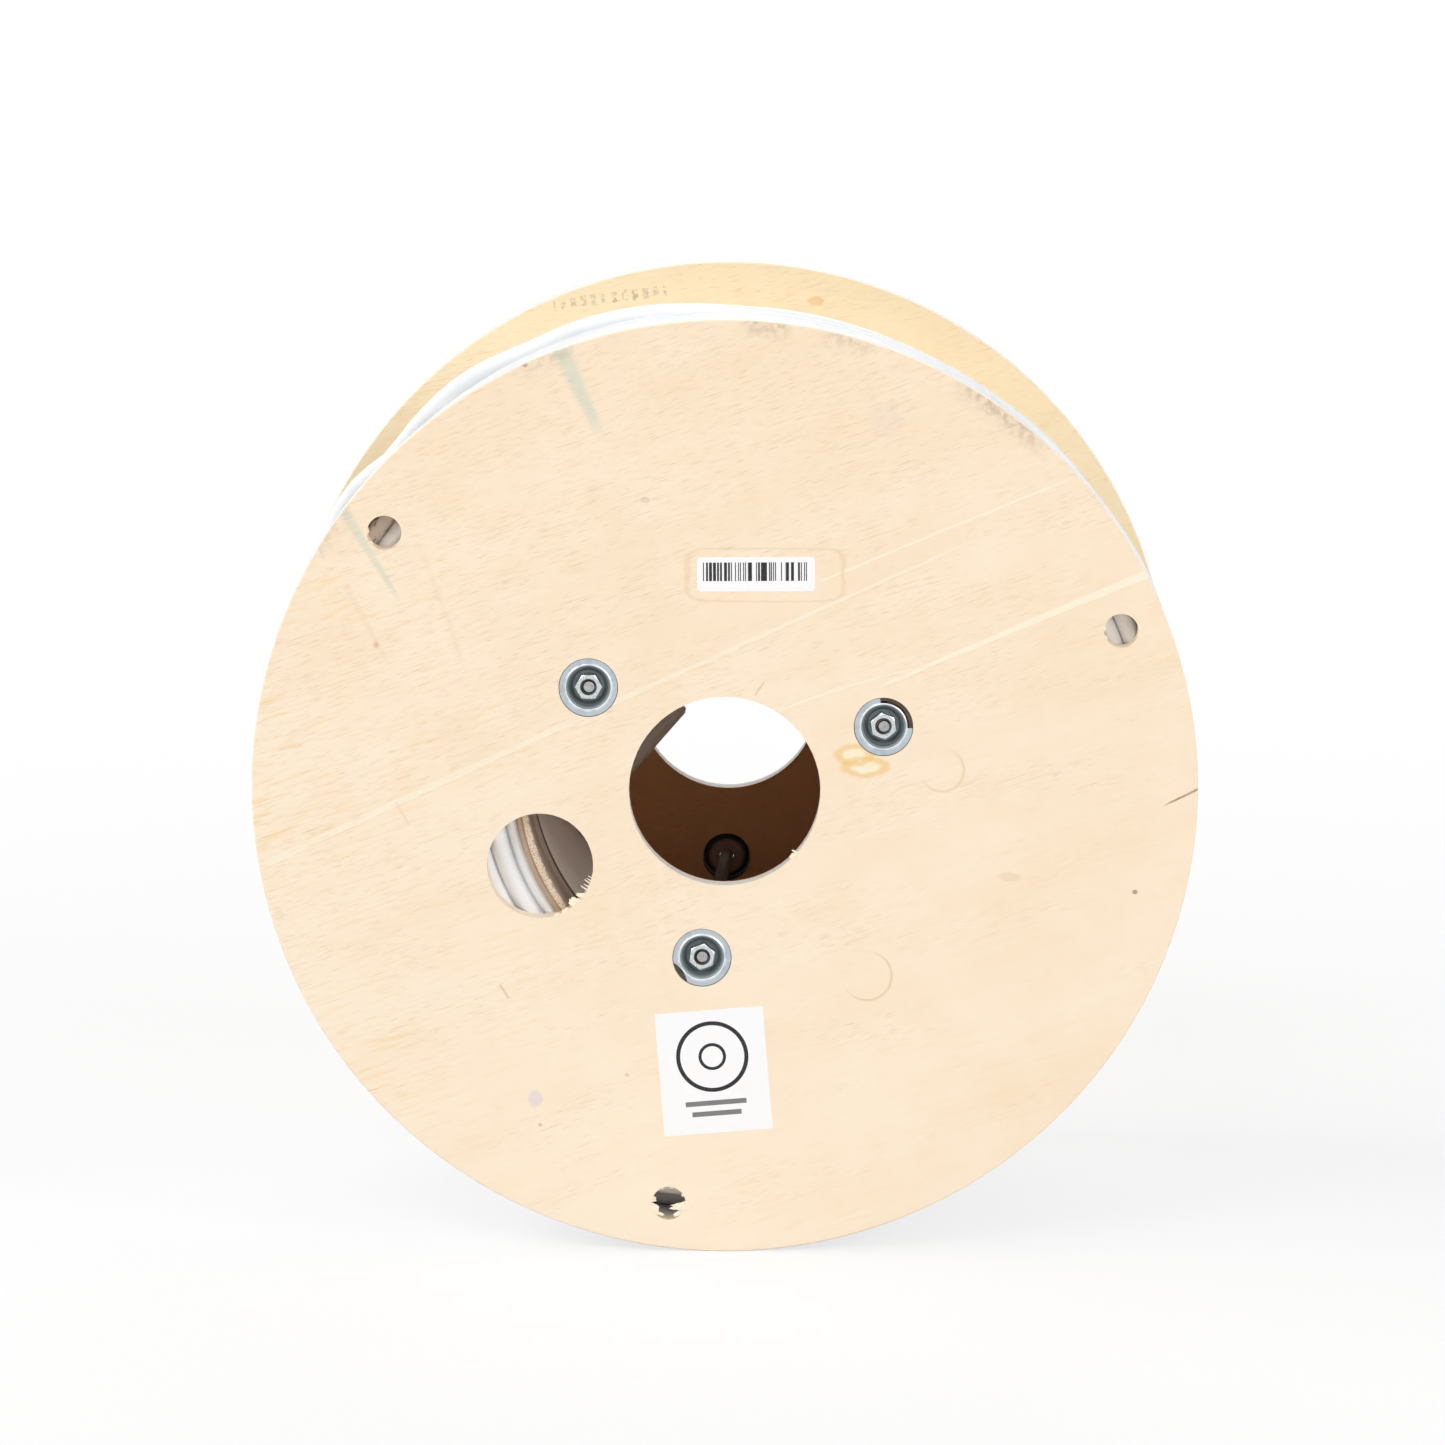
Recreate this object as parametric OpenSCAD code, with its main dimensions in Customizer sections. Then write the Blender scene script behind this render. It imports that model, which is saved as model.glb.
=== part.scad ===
// Cable reel: two plywood flanges on a cardboard barrel, held together by three tie rods,
// with a cable wound on it. The reel stands on its rims, with its axis along Y.
// Every piece is drawn about the reel's own axis, which is the local z axis: local z = 0 is the
// middle of the barrel, and the front flange is on the +z side.

/* [Flanges] */
// Outside diameter of each plywood flange
flange_d = 400; // [380:1:500]
// Thickness of the plywood
flange_t = 9; // [8:0.5:15]
// Clear width between the two flanges
traverse = 220; // [150:1:300]
// Bevel that eases both edges of the rim
rim_ease = 0.5; // [0.2:0.1:1.5]
// Diameter of the arbor hole
arbor_d = 81; // [40:0.5:90]
// Diameter of the drive holes
drive_hole_d = 14.5; // [8:0.5:20]
// Distance of a drive hole's centre from the rim
drive_inset = 19.5; // [15:0.5:40]
// Diameter of the hole that leads the cable's inner end out
lead_out_d = 45; // [20:0.5:48]
// Angle of the first tie rod and drive hole, seen from the front
first_angle = 22.4; // [0:0.1:119]
// How far the rear flange is turned against the front one, seen from the front
twist = 6.9; // [0:0.1:10]

/* [Barrel] */
// Outside diameter of the cardboard barrel
barrel_d = 178; // [165:1:220]
// Wall of the barrel
barrel_wall = 4.5; // [3:0.25:8]
// Depth of the groove in each flange that seats the barrel
groove_depth = 2.5; // [1:0.25:4]
// Room on each side of the barrel's wall in its groove
groove_gap = 0.25; // [0.1:0.05:0.5]

/* [Tie rods] */
// Diameter of a tie rod
rod_d = 6; // [5:0.5:8]
// Distance of a tie rod's axis from the barrel's inside wall
rod_inset = 12; // [12:0.25:16]
// How far a tie rod's end stays below the flange's face
rod_sink = 1; // [0.5:0.25:3.5]
// Bevel on the ends of a tie rod
rod_bevel = 0.6; // [0.2:0.1:1]
// Width of a nut across its flats
nut_af = 10; // [9:0.5:12]
// Height of a nut
nut_h = 5; // [4:0.25:6]
// Room between a tie rod and its nut, on the radius
nut_gap = 0.1; // [0.05:0.05:0.2]

/* [Cup washers] */
// Outside diameter of a cup washer's rim
cup_rim_d = 24.5; // [24:0.5:28]
// Inside diameter of the cup at its mouth
cup_mouth_d = 17.6; // [17:0.1:18.5]
// Inside diameter of the cup at its floor
cup_floor_d = 13.6; // [13.2:0.1:16.5]
// Depth of the cup from the top of its rim
cup_depth = 6.2; // [6:0.1:10]
// Sheet thickness of a cup washer
cup_sheet = 1.2; // [0.8:0.1:1.5]
// Inside radius of the bends in a cup washer
cup_bend = 0.8; // [0.3:0.1:1.2]
// How far the rim lies below the flange's face
cup_sink = 0.6; // [0.2:0.1:1.5]
// Room round the rim in its recess
cup_rim_gap = 0.3; // [0.2:0.1:0.8]
// Room round the bend under the rim in the flange's hole
cup_hole_gap = 0.1; // [0.05:0.05:0.4]
// Room round a tie rod in the cup's floor
cup_rod_gap = 0.3; // [0.2:0.1:0.6]
// Diameter of the round bite that the neighbouring blank leaves in some rims
bite_d = 26; // [20:1:30]

/* [Cable] */
// Diameter of the cable
cable_d = 8.1; // [6:0.1:12]
// Least room between two turns of a layer
turn_gap = 0.2; // [0.1:0.05:1]
// Room between two layers
layer_gap = 0.15; // [0.1:0.05:0.5]
// Room between the winding and each flange
end_gap = 0.2; // [0.1:0.05:0.5]
// Room between the winding and the barrel
bore_gap = 0.1; // [0.05:0.05:0.3]
// How far the first layer is pressed flat on the barrel
first_press = 0.4; // [0.2:0.1:0.8]
// Least room between the last layer and the rim
rim_room = 3; // [1:0.5:20]
// Width of the last layer, from the front flange
last_layer_w = 80; // [20:1:140]
// Width of the layer under the last one, from the front flange
under_layer_w = 165; // [30:1:220]
// Angle of the hole that leads the cable's inner end into the barrel, seen from the front
tail_entry_angle = 215.4; // [180:0.1:230]
// How far in front of the barrel's middle the inner end lies
tail_offset = -60; // [-90:1:90]
// How far the inner end's start lies below the barrel's outside
tail_sink = 1.6; // [1.6:0.05:3]
// Room round the cable in the hole that leads it into the barrel
lead_in_gap = 1.15; // [0.6:0.05:2]

/* [Hidden] */
$fn = 96;

// Extra length of a cutting tool past the face that it cuts
past = 1;

flange_r = flange_d / 2;
barrel_r = barrel_d / 2;
barrel_bore_r = barrel_r - barrel_wall;
drive_r = flange_r - drive_inset;
rod_r = barrel_bore_r - rod_inset;
rod_angles = [for (k = [0:2]) first_angle + 120 * k];
// The lead-out hole is centred on the barrel's inside wall, between two tie rods
lead_out_r = barrel_bore_r;
lead_out_angle = first_angle + 180;
// The rear flange is the same piece turned over about the second tie rod's radius
flip_angle = rod_angles[1];

// Heights in a flange, from its inside face, and in a cup washer, from the underside of its rim
recess_d = cup_rim_d + 2 * cup_rim_gap;
recess_z = flange_t - cup_sink - cup_sheet;
cup_hole_d = cup_mouth_d + 2 * (cup_sheet + cup_bend + cup_hole_gap);
cup_floor_z = cup_sheet - cup_depth;
nut_seat_z = traverse / 2 + recess_z + cup_floor_z;

// A tie rod runs straight from the middle of its front nut to the middle of its rear nut, so the
// twist makes it lean; the nut's bore leaves room for that
rod_length = traverse + 2 * flange_t - 2 * rod_sink;
rod_lean = atan2(rod_r * sin(twist / 2), nut_seat_z + nut_h / 2);
nut_bore_d = rod_d + 2 * nut_gap + nut_h * tan(rod_lean);

// Turn of each nut about its rod, seen from the front, and the direction and depth of a rim's bite
nut_turns_front = [39, 0, 21];
nut_turns_rear = [12, 47, 25];
bites_front = [[47, 8.3], undef, [215, 2.1]];
bites_rear = [undef, undef, undef];

// The winding's turns: n counts the layers from the barrel, i the turns from the front flange
cable_r = cable_d / 2;
layer_pitch = cable_d + layer_gap;
wound_w = traverse - 2 * end_gap;
turns = floor(wound_w / (cable_d + turn_gap));
turn_pitch = (wound_w - cable_d) / (turns - 1);
winding_bore_r = barrel_r + bore_gap;
first_layer_r = winding_bore_r - first_press + cable_r;
layers = 1 + floor((flange_r - rim_room - cable_r - first_layer_r) / layer_pitch);
last_turns = min(turns, floor(last_layer_w / turn_pitch));
under_turns = min(turns, max(last_turns, floor(under_layer_w / turn_pitch)));
function turn_r(n) = first_layer_r + layer_pitch * n;
function turn_z(i) = wound_w / 2 - cable_r - turn_pitch * i;

// The cable's inner end: its start in the barrel's wall, and its route from there to its tip
tail_start = [
    (barrel_r - tail_sink) * cos(tail_entry_angle),
    (barrel_r - tail_sink) * sin(tail_entry_angle),
    tail_offset
];
tail_route = [
    [0, 0, 0], [8.3, 8.7, 0], [18.9, 20.8, 0], [29.2, 33, 0], [39.6, 45.1, 0], [49.1, 56, 0], [50.4, 57.5, 0]
];
tail_points = [for (step = tail_route) tail_start + step];
tail_tip_d = 0.7 * cable_d;
tail_sides = 12;
tail_run = tail_points[1] - tail_points[0];
tail_angle = atan2(tail_run.y, tail_run.x);

// Points of the arc that rounds corner b of the line from a to c
function unit(v) = v / norm(v);
function round_corner(a, b, c, r, steps = 5) =
    let (to_a = unit(a - b))
    let (to_c = unit(c - b))
    let (half_angle = acos(to_a * to_c) / 2)
    let (centre = b + unit(to_a + to_c) * r / sin(half_angle))
    let (first = b + to_a * r / tan(half_angle) - centre)
    let (last = b + to_c * r / tan(half_angle) - centre)
    let (sweep = atan2(cross(first, last), first * last))
    [for (i = [0:steps])
        let (turn = sweep * i / steps)
        centre + [
            first.x * cos(turn) - first.y * sin(turn),
            first.x * sin(turn) + first.y * cos(turn)
        ]];

// Stands the reel on its rims: local x stays, local y points up and local z points to the front
module on_axis() {
    translate([0, 0, flange_r])
        rotate([90, 0, 0])
            children();
}

// Puts children on the front side, or turns them over and by the twist onto the rear side
module on_side(front) {
    if (front) {
        children();
    } else {
        rotate([0, 0, twist])
            rotate(a = 180, v = [cos(flip_angle), sin(flip_angle), 0])
                children();
    }
}

// Angle about the axis at which a piece for rod k is drawn before on_side places it
function drawn_angle(front, k) = front ? rod_angles[k - 1] : 2 * flip_angle - rod_angles[k - 1];

// Disc with eased edges, from the flange's inside face at z = 0 to its outside face
module flange_blank() {
    rotate_extrude()
        polygon([
            [0, 0],
            [flange_r - rim_ease, 0],
            [flange_r, rim_ease],
            [flange_r, flange_t - rim_ease],
            [flange_r - rim_ease, flange_t],
            [0, flange_t]
        ]);
}

// Hole right through a flange at a radius and an angle
module flange_hole(r, angle, d) {
    rotate([0, 0, angle])
        translate([r, 0, -past])
            cylinder(d = d, h = flange_t + 2 * past);
}

// Groove that seats the end of the barrel
module barrel_groove() {
    difference() {
        translate([0, 0, -past])
            cylinder(r = barrel_r + groove_gap, h = groove_depth + past);
        translate([0, 0, -2 * past])
            cylinder(r = barrel_bore_r - groove_gap, h = groove_depth + 4 * past);
    }
}

module flange() {
    difference() {
        flange_blank();
        flange_hole(0, 0, arbor_d);
        flange_hole(lead_out_r, lead_out_angle, lead_out_d);
        for (angle = rod_angles) {
            flange_hole(drive_r, angle, drive_hole_d);
            flange_hole(rod_r, angle, cup_hole_d);
            rotate([0, 0, angle])
                translate([rod_r, 0, recess_z])
                    cylinder(d = recess_d, h = flange_t);
        }
        barrel_groove();
    }
}

module flange_piece(front) {
    color("burlywood")
        on_axis()
            on_side(front)
                translate([0, 0, traverse / 2])
                    flange();
}

module barrel() {
    length = traverse + 2 * groove_depth;
    color("peru")
        on_axis()
            difference() {
                cylinder(r = barrel_r, h = length, center = true);
                cylinder(r = barrel_bore_r, h = length + 2 * past, center = true);
                translate(tail_points[0])
                    rotate([0, 90, tail_angle])
                        cylinder(d = cable_d + 2 * lead_in_gap, h = 4 * barrel_wall, center = true);
            }
}

module tie_rod(k) {
    color("silver")
        on_axis()
            rotate([0, 0, rod_angles[k - 1] + twist / 2])
                translate([rod_r * cos(twist / 2), 0, 0])
                    rotate([rod_lean, 0, 0])
                        rotate_extrude()
                            polygon([
                                [0, -rod_length / 2],
                                [rod_d / 2 - rod_bevel, -rod_length / 2],
                                [rod_d / 2, -rod_length / 2 + rod_bevel],
                                [rod_d / 2, rod_length / 2 - rod_bevel],
                                [rod_d / 2 - rod_bevel, rod_length / 2],
                                [0, rod_length / 2]
                            ]);
}

// Pressed cup with a flat rim and round bends; z = 0 is the underside of the rim
module cup_shape() {
    hole_r = rod_d / 2 + cup_rod_gap;
    floor_top = [cup_floor_d / 2, cup_floor_z];
    mouth_top = [cup_mouth_d / 2, cup_sheet];
    mouth_under = [cup_mouth_d / 2 + cup_sheet, 0];
    floor_under = [cup_floor_d / 2 + cup_sheet, cup_floor_z - cup_sheet];
    hole_top = [hole_r, cup_floor_z];
    hole_under = [hole_r, cup_floor_z - cup_sheet];
    rim_top = [cup_rim_d / 2, cup_sheet];
    rim_under = [cup_rim_d / 2, 0];
    rotate_extrude()
        polygon(concat(
            [hole_under],
            round_corner(hole_under, floor_under, mouth_under, cup_bend + cup_sheet),
            round_corner(floor_under, mouth_under, rim_under, cup_bend),
            [rim_under, rim_top],
            round_corner(rim_top, mouth_top, floor_top, cup_bend + cup_sheet),
            round_corner(mouth_top, floor_top, hole_top, cup_bend),
            [hole_top]
        ));
}

// What a bite takes from the rim: it stops at the lip of the cup
module rim_bite(depth) {
    difference() {
        translate([cup_rim_d / 2 - depth + bite_d / 2, 0, -past])
            cylinder(d = bite_d, h = cup_sheet + 2 * past);
        translate([0, 0, -2 * past])
            cylinder(d = cup_mouth_d + 2 * cup_sheet, h = cup_sheet + 4 * past);
    }
}

// Cup washer in its recess, with a bite in its rim where one is given
module cup_washer(front, k, bite) {
    angle = drawn_angle(front, k);
    color("lightsteelblue")
        on_axis()
            on_side(front)
                rotate([0, 0, angle])
                    translate([rod_r, 0, traverse / 2 + recess_z])
                        difference() {
                            cup_shape();
                            if (!is_undef(bite)) {
                                rotate([0, 0, bite[0] - angle])
                                    rim_bite(bite[1]);
                            }
                        }
}

// Hexagon with its corners turned off at both ends; z = 0 is its seat
module nut_shape() {
    corner_r = nut_af / 2 / cos(30);
    bevel = (corner_r - nut_af / 2) / 2;
    difference() {
        intersection() {
            cylinder(r = corner_r, h = nut_h, $fn = 6);
            rotate_extrude()
                polygon([
                    [0, 0],
                    [corner_r - 2 * bevel, 0],
                    [corner_r + bevel, 1.5 * bevel],
                    [corner_r + bevel, nut_h - 1.5 * bevel],
                    [corner_r - 2 * bevel, nut_h],
                    [0, nut_h]
                ]);
        }
        translate([0, 0, -past])
            cylinder(d = nut_bore_d, h = nut_h + 2 * past);
    }
}

module nut(front, k, turn) {
    angle = drawn_angle(front, k);
    color("silver")
        on_axis()
            on_side(front)
                rotate([0, 0, angle])
                    translate([rod_r, 0, nut_seat_z])
                        rotate([0, 0, turn - angle])
                            nut_shape();
}

// Section of one turn, at its place in the winding's half section
module turn_section(n, i) {
    translate([turn_r(n), turn_z(i)])
        circle(r = cable_r);
}

// Half section of the winding: a core through the middle of the outermost turns, and those turns
module winding_section() {
    top = layers - 1;
    polygon([
        [winding_bore_r, turn_z(turns - 1)],
        [turn_r(top - 2), turn_z(turns - 1)],
        [turn_r(top - 2), turn_z(under_turns - 1)],
        [turn_r(top - 1), turn_z(under_turns - 1)],
        [turn_r(top - 1), turn_z(last_turns - 1)],
        [turn_r(top), turn_z(last_turns - 1)],
        [turn_r(top), turn_z(0)],
        [winding_bore_r, turn_z(0)]
    ]);
    for (i = [0:1:last_turns - 1]) turn_section(top, i);
    for (i = [last_turns:1:under_turns - 1]) turn_section(top - 1, i);
    for (i = [under_turns:1:turns - 1]) turn_section(top - 2, i);
    for (n = [0:1:top - 1]) turn_section(n, 0);
    for (n = [0:1:top - 3]) turn_section(n, turns - 1);
}

module cable_winding() {
    color("white")
        on_axis()
            rotate_extrude()
                difference() {
                    winding_section();
                    translate([0, -traverse / 2])
                        square([winding_bore_r, traverse]);
                }
}

// Direction of the tail at point k, and the ring of corners about that point
function tail_heading(k) =
    unit(tail_points[min(k + 1, len(tail_points) - 1)] - tail_points[max(k - 1, 0)]);
function tail_ring(k) =
    let (side = cross([0, 0, 1], tail_heading(k)))
    let (ring_d = k == len(tail_points) - 1 ? tail_tip_d : cable_d)
    [for (s = [0:tail_sides - 1])
        tail_points[k] + ring_d / 2 *
            (cos(360 * s / tail_sides) * side + sin(360 * s / tail_sides) * [0, 0, 1])];

module cable_tail() {
    rings = len(tail_points);
    corners = [for (k = [0:rings - 1]) each tail_ring(k)];
    walls = [for (k = [0:rings - 2]) for (s = [0:tail_sides - 1])
        let (next = (s + 1) % tail_sides)
        [k * tail_sides + s, k * tail_sides + next,
         (k + 1) * tail_sides + next, (k + 1) * tail_sides + s]];
    start_cap = [for (s = [0:tail_sides - 1]) tail_sides - 1 - s];
    tip_cap = [for (s = [0:tail_sides - 1]) (rings - 1) * tail_sides + s];
    color("gainsboro")
        on_axis()
            polyhedron(corners, concat([start_cap], walls, [tip_cap]));
}

flange_piece(true);  // flange_front
flange_piece(false);  // flange_rear
barrel();
for (k = [1:3]) {
    tie_rod(k);
    cup_washer(true, k, bites_front[k - 1]);
    cup_washer(false, k, bites_rear[k - 1]);
    nut(true, k, nut_turns_front[k - 1]);
    nut(false, k, nut_turns_rear[k - 1]);
}
cable_winding();
cable_tail();
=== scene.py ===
"""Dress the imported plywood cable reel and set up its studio.

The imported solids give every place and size. Plywood, cardboard and zinc finishes go on them, the
winding is rebuilt turn by turn, the tie rods get their threads, and labels and torn fibres are
added.
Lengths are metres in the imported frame: the reel's axis runs along y, and its front faces -y.
"""

import logging
import math
import random
from bisect import bisect_left
from dataclasses import dataclass
from enum import Enum
from typing import Callable, Iterable, Protocol, Sequence

import bmesh
import bpy
from mathutils import Matrix, Vector, noise


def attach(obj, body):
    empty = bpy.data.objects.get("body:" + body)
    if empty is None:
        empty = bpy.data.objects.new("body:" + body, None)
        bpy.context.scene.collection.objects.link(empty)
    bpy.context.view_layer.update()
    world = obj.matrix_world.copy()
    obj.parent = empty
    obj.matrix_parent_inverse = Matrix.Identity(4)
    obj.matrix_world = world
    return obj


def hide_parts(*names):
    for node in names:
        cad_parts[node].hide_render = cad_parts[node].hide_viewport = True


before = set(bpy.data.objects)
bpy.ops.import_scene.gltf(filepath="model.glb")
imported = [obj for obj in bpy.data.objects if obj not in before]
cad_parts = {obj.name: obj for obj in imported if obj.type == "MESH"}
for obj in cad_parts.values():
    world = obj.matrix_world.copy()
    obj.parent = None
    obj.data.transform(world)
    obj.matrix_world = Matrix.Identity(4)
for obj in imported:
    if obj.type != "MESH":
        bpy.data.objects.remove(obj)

LOG = logging.getLogger("cable_reel")
MM = 0.001
TO_MM = 1000
FULL_TURN = 360
BODY = "root"

Number = float | int
Pair = tuple[float, float]
Station = tuple[float, float, float]
Place = tuple[float, float, float]
Colour = tuple[float, float, float, float]
WHITE: Colour = (1.0, 1.0, 1.0, 1.0)


class Slot(Enum):
    """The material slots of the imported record."""

    PLYWOOD = "plywood"
    CARDBOARD = "cardboard"
    ZINC = "zinc_steel"
    CABLE = "cable_sheath"


class Side(Enum):
    """Which flange a piece belongs to; the value is the sign of its y."""

    FRONT = -1
    REAR = 1


def paint(red: Number, green: Number, blue: Number) -> Colour:
    """Turn a colour as the eye reads it into the linear colour that shaders take.

    Args:
        red: Red part, 0 to 255.
        green: Green part, 0 to 255.
        blue: Blue part, 0 to 255.

    Returns:
        The linear colour with full alpha.
    """
    linear = [
        part / 12.92 if part <= 0.04045 else ((part + 0.055) / 1.055) ** 2.4
        for part in (red / 255, green / 255, blue / 255)
    ]
    return (*linear, 1.0)


class Wire:
    """A node's output that takes part in Python arithmetic."""

    def __init__(self, bench: "Bench", socket: bpy.types.NodeSocket) -> None:
        """Hold the socket and the bench whose nodes it belongs to."""
        self.bench = bench
        self.socket = socket

    def math(self, operation: str, *others: "Wire | Number") -> "Wire":
        """Add one Math node on this value and others."""
        return self.bench.math(operation, self, *others)

    def __add__(self, other: "Wire | Number") -> "Wire":
        """Sum of two values."""
        return self.math("ADD", other)

    __radd__ = __add__

    def __sub__(self, other: "Wire | Number") -> "Wire":
        """Difference of two values."""
        return self.math("SUBTRACT", other)

    def __rsub__(self, other: Number) -> "Wire":
        """Difference with the plain number first."""
        return self.bench.math("SUBTRACT", other, self)

    def __mul__(self, other: "Wire | Number") -> "Wire":
        """Product of two values."""
        return self.math("MULTIPLY", other)

    __rmul__ = __mul__

    def __truediv__(self, other: "Wire | Number") -> "Wire":
        """Quotient of two values."""
        return self.math("DIVIDE", other)

    def __rtruediv__(self, other: Number) -> "Wire":
        """Quotient with the plain number first."""
        return self.bench.math("DIVIDE", other, self)

    def __pow__(self, power: "Wire | Number") -> "Wire":
        """Power of a value."""
        return self.math("POWER", power)

    def __abs__(self) -> "Wire":
        """Size of a value without its sign."""
        return self.math("ABSOLUTE")

    def low(self, other: "Wire | Number") -> "Wire":
        """The lower of two values."""
        return self.math("MINIMUM", other)

    def high(self, other: "Wire | Number") -> "Wire":
        """The higher of two values."""
        return self.math("MAXIMUM", other)

    def whole(self) -> "Wire":
        """The next whole number below."""
        return self.math("FLOOR")

    def part(self) -> "Wire":
        """What is left above the next whole number below."""
        return self.math("FRACT")

    def span(self, other: "Wire") -> "Wire":
        """Distance over two values that stand square to each other."""
        return (self * self + other * other) ** 0.5

    def towards(self, rise: "Wire", degrees: float) -> "Wire":
        """How far along a direction a place lies.

        Args:
            rise: The place upwards; this value is the place to the right.
            degrees: The direction, counter-clockwise from the right.

        Returns:
            The distance along that direction.
        """
        turn = math.radians(degrees)
        return self * math.cos(turn) + rise * math.sin(turn)

    def rise(self, start: "Wire | Number", end: "Wire | Number") -> "Wire":
        """Smooth step from 0 at start to 1 at end.

        Args:
            start: Value at which the step is 0; it may be above end.
            end: Value at which the step is 1.

        Returns:
            The step, held to 0 to 1.
        """
        return self.bench.node(
            "ShaderNodeMapRange",
            {"interpolation_type": "SMOOTHSTEP"},
            {"Value": self, "From Min": start, "From Max": end},
        )


class Bench:
    """Builds the nodes of one material or world."""

    def __init__(self, owner: bpy.types.Material | bpy.types.World) -> None:
        """Start with no nodes in the owner's tree."""
        owner.use_nodes = True
        self.owner = owner
        self.tree = owner.node_tree
        self.tree.nodes.clear()

    @classmethod
    def material(cls, name: str) -> "Bench":
        """Start a new material of this name."""
        return cls(bpy.data.materials.new(name))

    def add(
        self, kind: str, settings: dict | None = None, inputs: dict | None = None
    ) -> bpy.types.Node:
        """Add a node.

        Args:
            kind: The node's type.
            settings: Its settings, set first.
            inputs: Values or wires by socket name or number.

        Returns:
            The new node.
        """
        made = self.tree.nodes.new(kind)
        for key, value in (settings or {}).items():
            setattr(made, key, value)
        for key, value in (inputs or {}).items():
            if isinstance(value, Wire):
                self.tree.links.new(value.socket, made.inputs[key])
            else:
                made.inputs[key].default_value = value
        return made

    def node(
        self,
        kind: str,
        settings: dict | None = None,
        inputs: dict | None = None,
        output: int | str = 0,
    ) -> Wire:
        """Add a node as add does, and hand back one of its outputs."""
        return Wire(self, self.add(kind, settings, inputs).outputs[output])

    def math(self, operation: str, *terms: Wire | Number) -> Wire:
        """Add one Math node on these terms."""
        return self.node("ShaderNodeMath", {"operation": operation}, dict(enumerate(terms)))

    def split(self, whole: Wire) -> tuple[Wire, Wire, Wire]:
        """The x, y and z of a vector."""
        parts = self.add("ShaderNodeSeparateXYZ", None, {0: whole}).outputs
        return tuple(Wire(self, part) for part in parts)

    def place(self) -> tuple[Wire, Wire, Wire]:
        """Object coordinates in millimetres, as x, y and height above the reel's axis."""
        spot = self.node("ShaderNodeTexCoord", output="Object")
        x, y, z = (part * TO_MM for part in self.split(spot))
        return x, y, z - REEL.flange_r * TO_MM

    def facing(self) -> tuple[Wire, Wire, Wire]:
        """The surface's own direction, as x, y and z wires."""
        return self.split(self.node("ShaderNodeTexCoord", output="Normal"))

    def seen(self) -> Wire:
        """1 on rays that the picture shows directly, mirrored or through a clear surface."""
        path = self.add("ShaderNodeLightPath")
        names = ("Is Camera Ray", "Is Glossy Ray", "Is Transmission Ray")
        direct, mirrored, through = (Wire(self, path.outputs[name]) for name in names)
        return direct.high(mirrored).high(through)

    def vector(self, *parts: Wire | Number) -> Wire:
        """Join up to three values into a vector."""
        return self.node("ShaderNodeCombineXYZ", None, dict(enumerate(parts)))

    def noise(self, at: Sequence[Wire | Number], detail: Number = 2, rough: Number = 0.5) -> Wire:
        """Soft noise of 0 to 1.

        Args:
            at: Up to three values that say where it is read; a feature is about 1 wide.
            detail: How many finer layers it has.
            rough: How strong they are.

        Returns:
            The noise value.
        """
        return self.node(
            "ShaderNodeTexNoise",
            None,
            {"Vector": self.vector(*at), "Scale": 1.0, "Detail": detail, "Roughness": rough},
        )

    def dice(self, number: Wire) -> Wire:
        """A chance value of 0 to 1 for each number."""
        return self.node("ShaderNodeTexWhiteNoise", {"noise_dimensions": "1D"}, {"W": number})

    def blend(self, under: Wire | Colour, over: Wire | Colour, share: Wire | Number) -> Wire:
        """Lay one colour over another.

        Args:
            under: The colour where share is 0.
            over: The colour where share is 1.
            share: How much of over shows.

        Returns:
            The mixed colour.
        """
        return self.node(
            "ShaderNodeMix", {"data_type": "RGBA"}, {0: share, 6: under, 7: over}, output=2
        )

    def finish(
        self,
        colour: Wire | Colour,
        roughness: Wire | Number,
        bump: Wire | None = None,
        bump_depth: Number = 0.0001,
        **steady: Number,
    ) -> bpy.types.Material:
        """Close the material with its surface shader.

        Args:
            colour: Base colour.
            roughness: Roughness.
            bump: Height of 0 to 1 for the surface's relief.
            bump_depth: Depth in metres of a height of 1.
            steady: Other sockets of the shader by name, with _ for a space.

        Returns:
            The finished material.
        """
        sockets = {"Base Color": colour, "Roughness": roughness}
        sockets |= {name.replace("_", " "): value for name, value in steady.items()}
        if bump is not None:
            sockets["Normal"] = self.node(
                "ShaderNodeBump", None, {"Strength": 1.0, "Distance": bump_depth, "Height": bump}
            )
        surface = self.node("ShaderNodeBsdfPrincipled", None, sockets)
        return self.close("ShaderNodeOutputMaterial", surface)

    def close(self, kind: str, surface: Wire) -> bpy.types.Material | bpy.types.World:
        """Link a shader to an output node of this kind and hand back the finished owner."""
        self.add(kind, None, {"Surface": surface})
        return self.owner


def dress_node(name: str, material: bpy.types.Material) -> None:
    """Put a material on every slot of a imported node."""
    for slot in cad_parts[name].material_slots:
        slot.material = material
    LOG.info("dressed %s with %s", name, material.name)


def make_piece(
    name: str,
    mesh: bmesh.types.BMesh,
    material: bpy.types.Material,
    slot: Slot | None = None,
    stands_for: Iterable[str] = (),
    smooth_angle: float = 40.0,
) -> None:
    """Turn a finished bmesh into a piece that rides on the reel.

    Args:
        name: The piece's name.
        mesh: Its shape, in place; it is freed.
        material: Its finish.
        slot: The record's slot that the finish belongs to.
        stands_for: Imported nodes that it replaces.
        smooth_angle: Edges sharper than this many degrees stay crisp.
    """
    bmesh.ops.recalc_face_normals(mesh, faces=mesh.faces)
    limit = math.radians(smooth_angle)
    for face in mesh.faces:
        face.smooth = True
    for edge in mesh.edges:
        edge.smooth = len(edge.link_faces) == 2 and edge.calc_face_angle(0.0) < limit
    data = bpy.data.meshes.new(name)
    mesh.to_mesh(data)
    mesh.free()
    data.materials.append(material)
    settle(bpy.data.objects.new(name, data), slot, stands_for)


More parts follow.
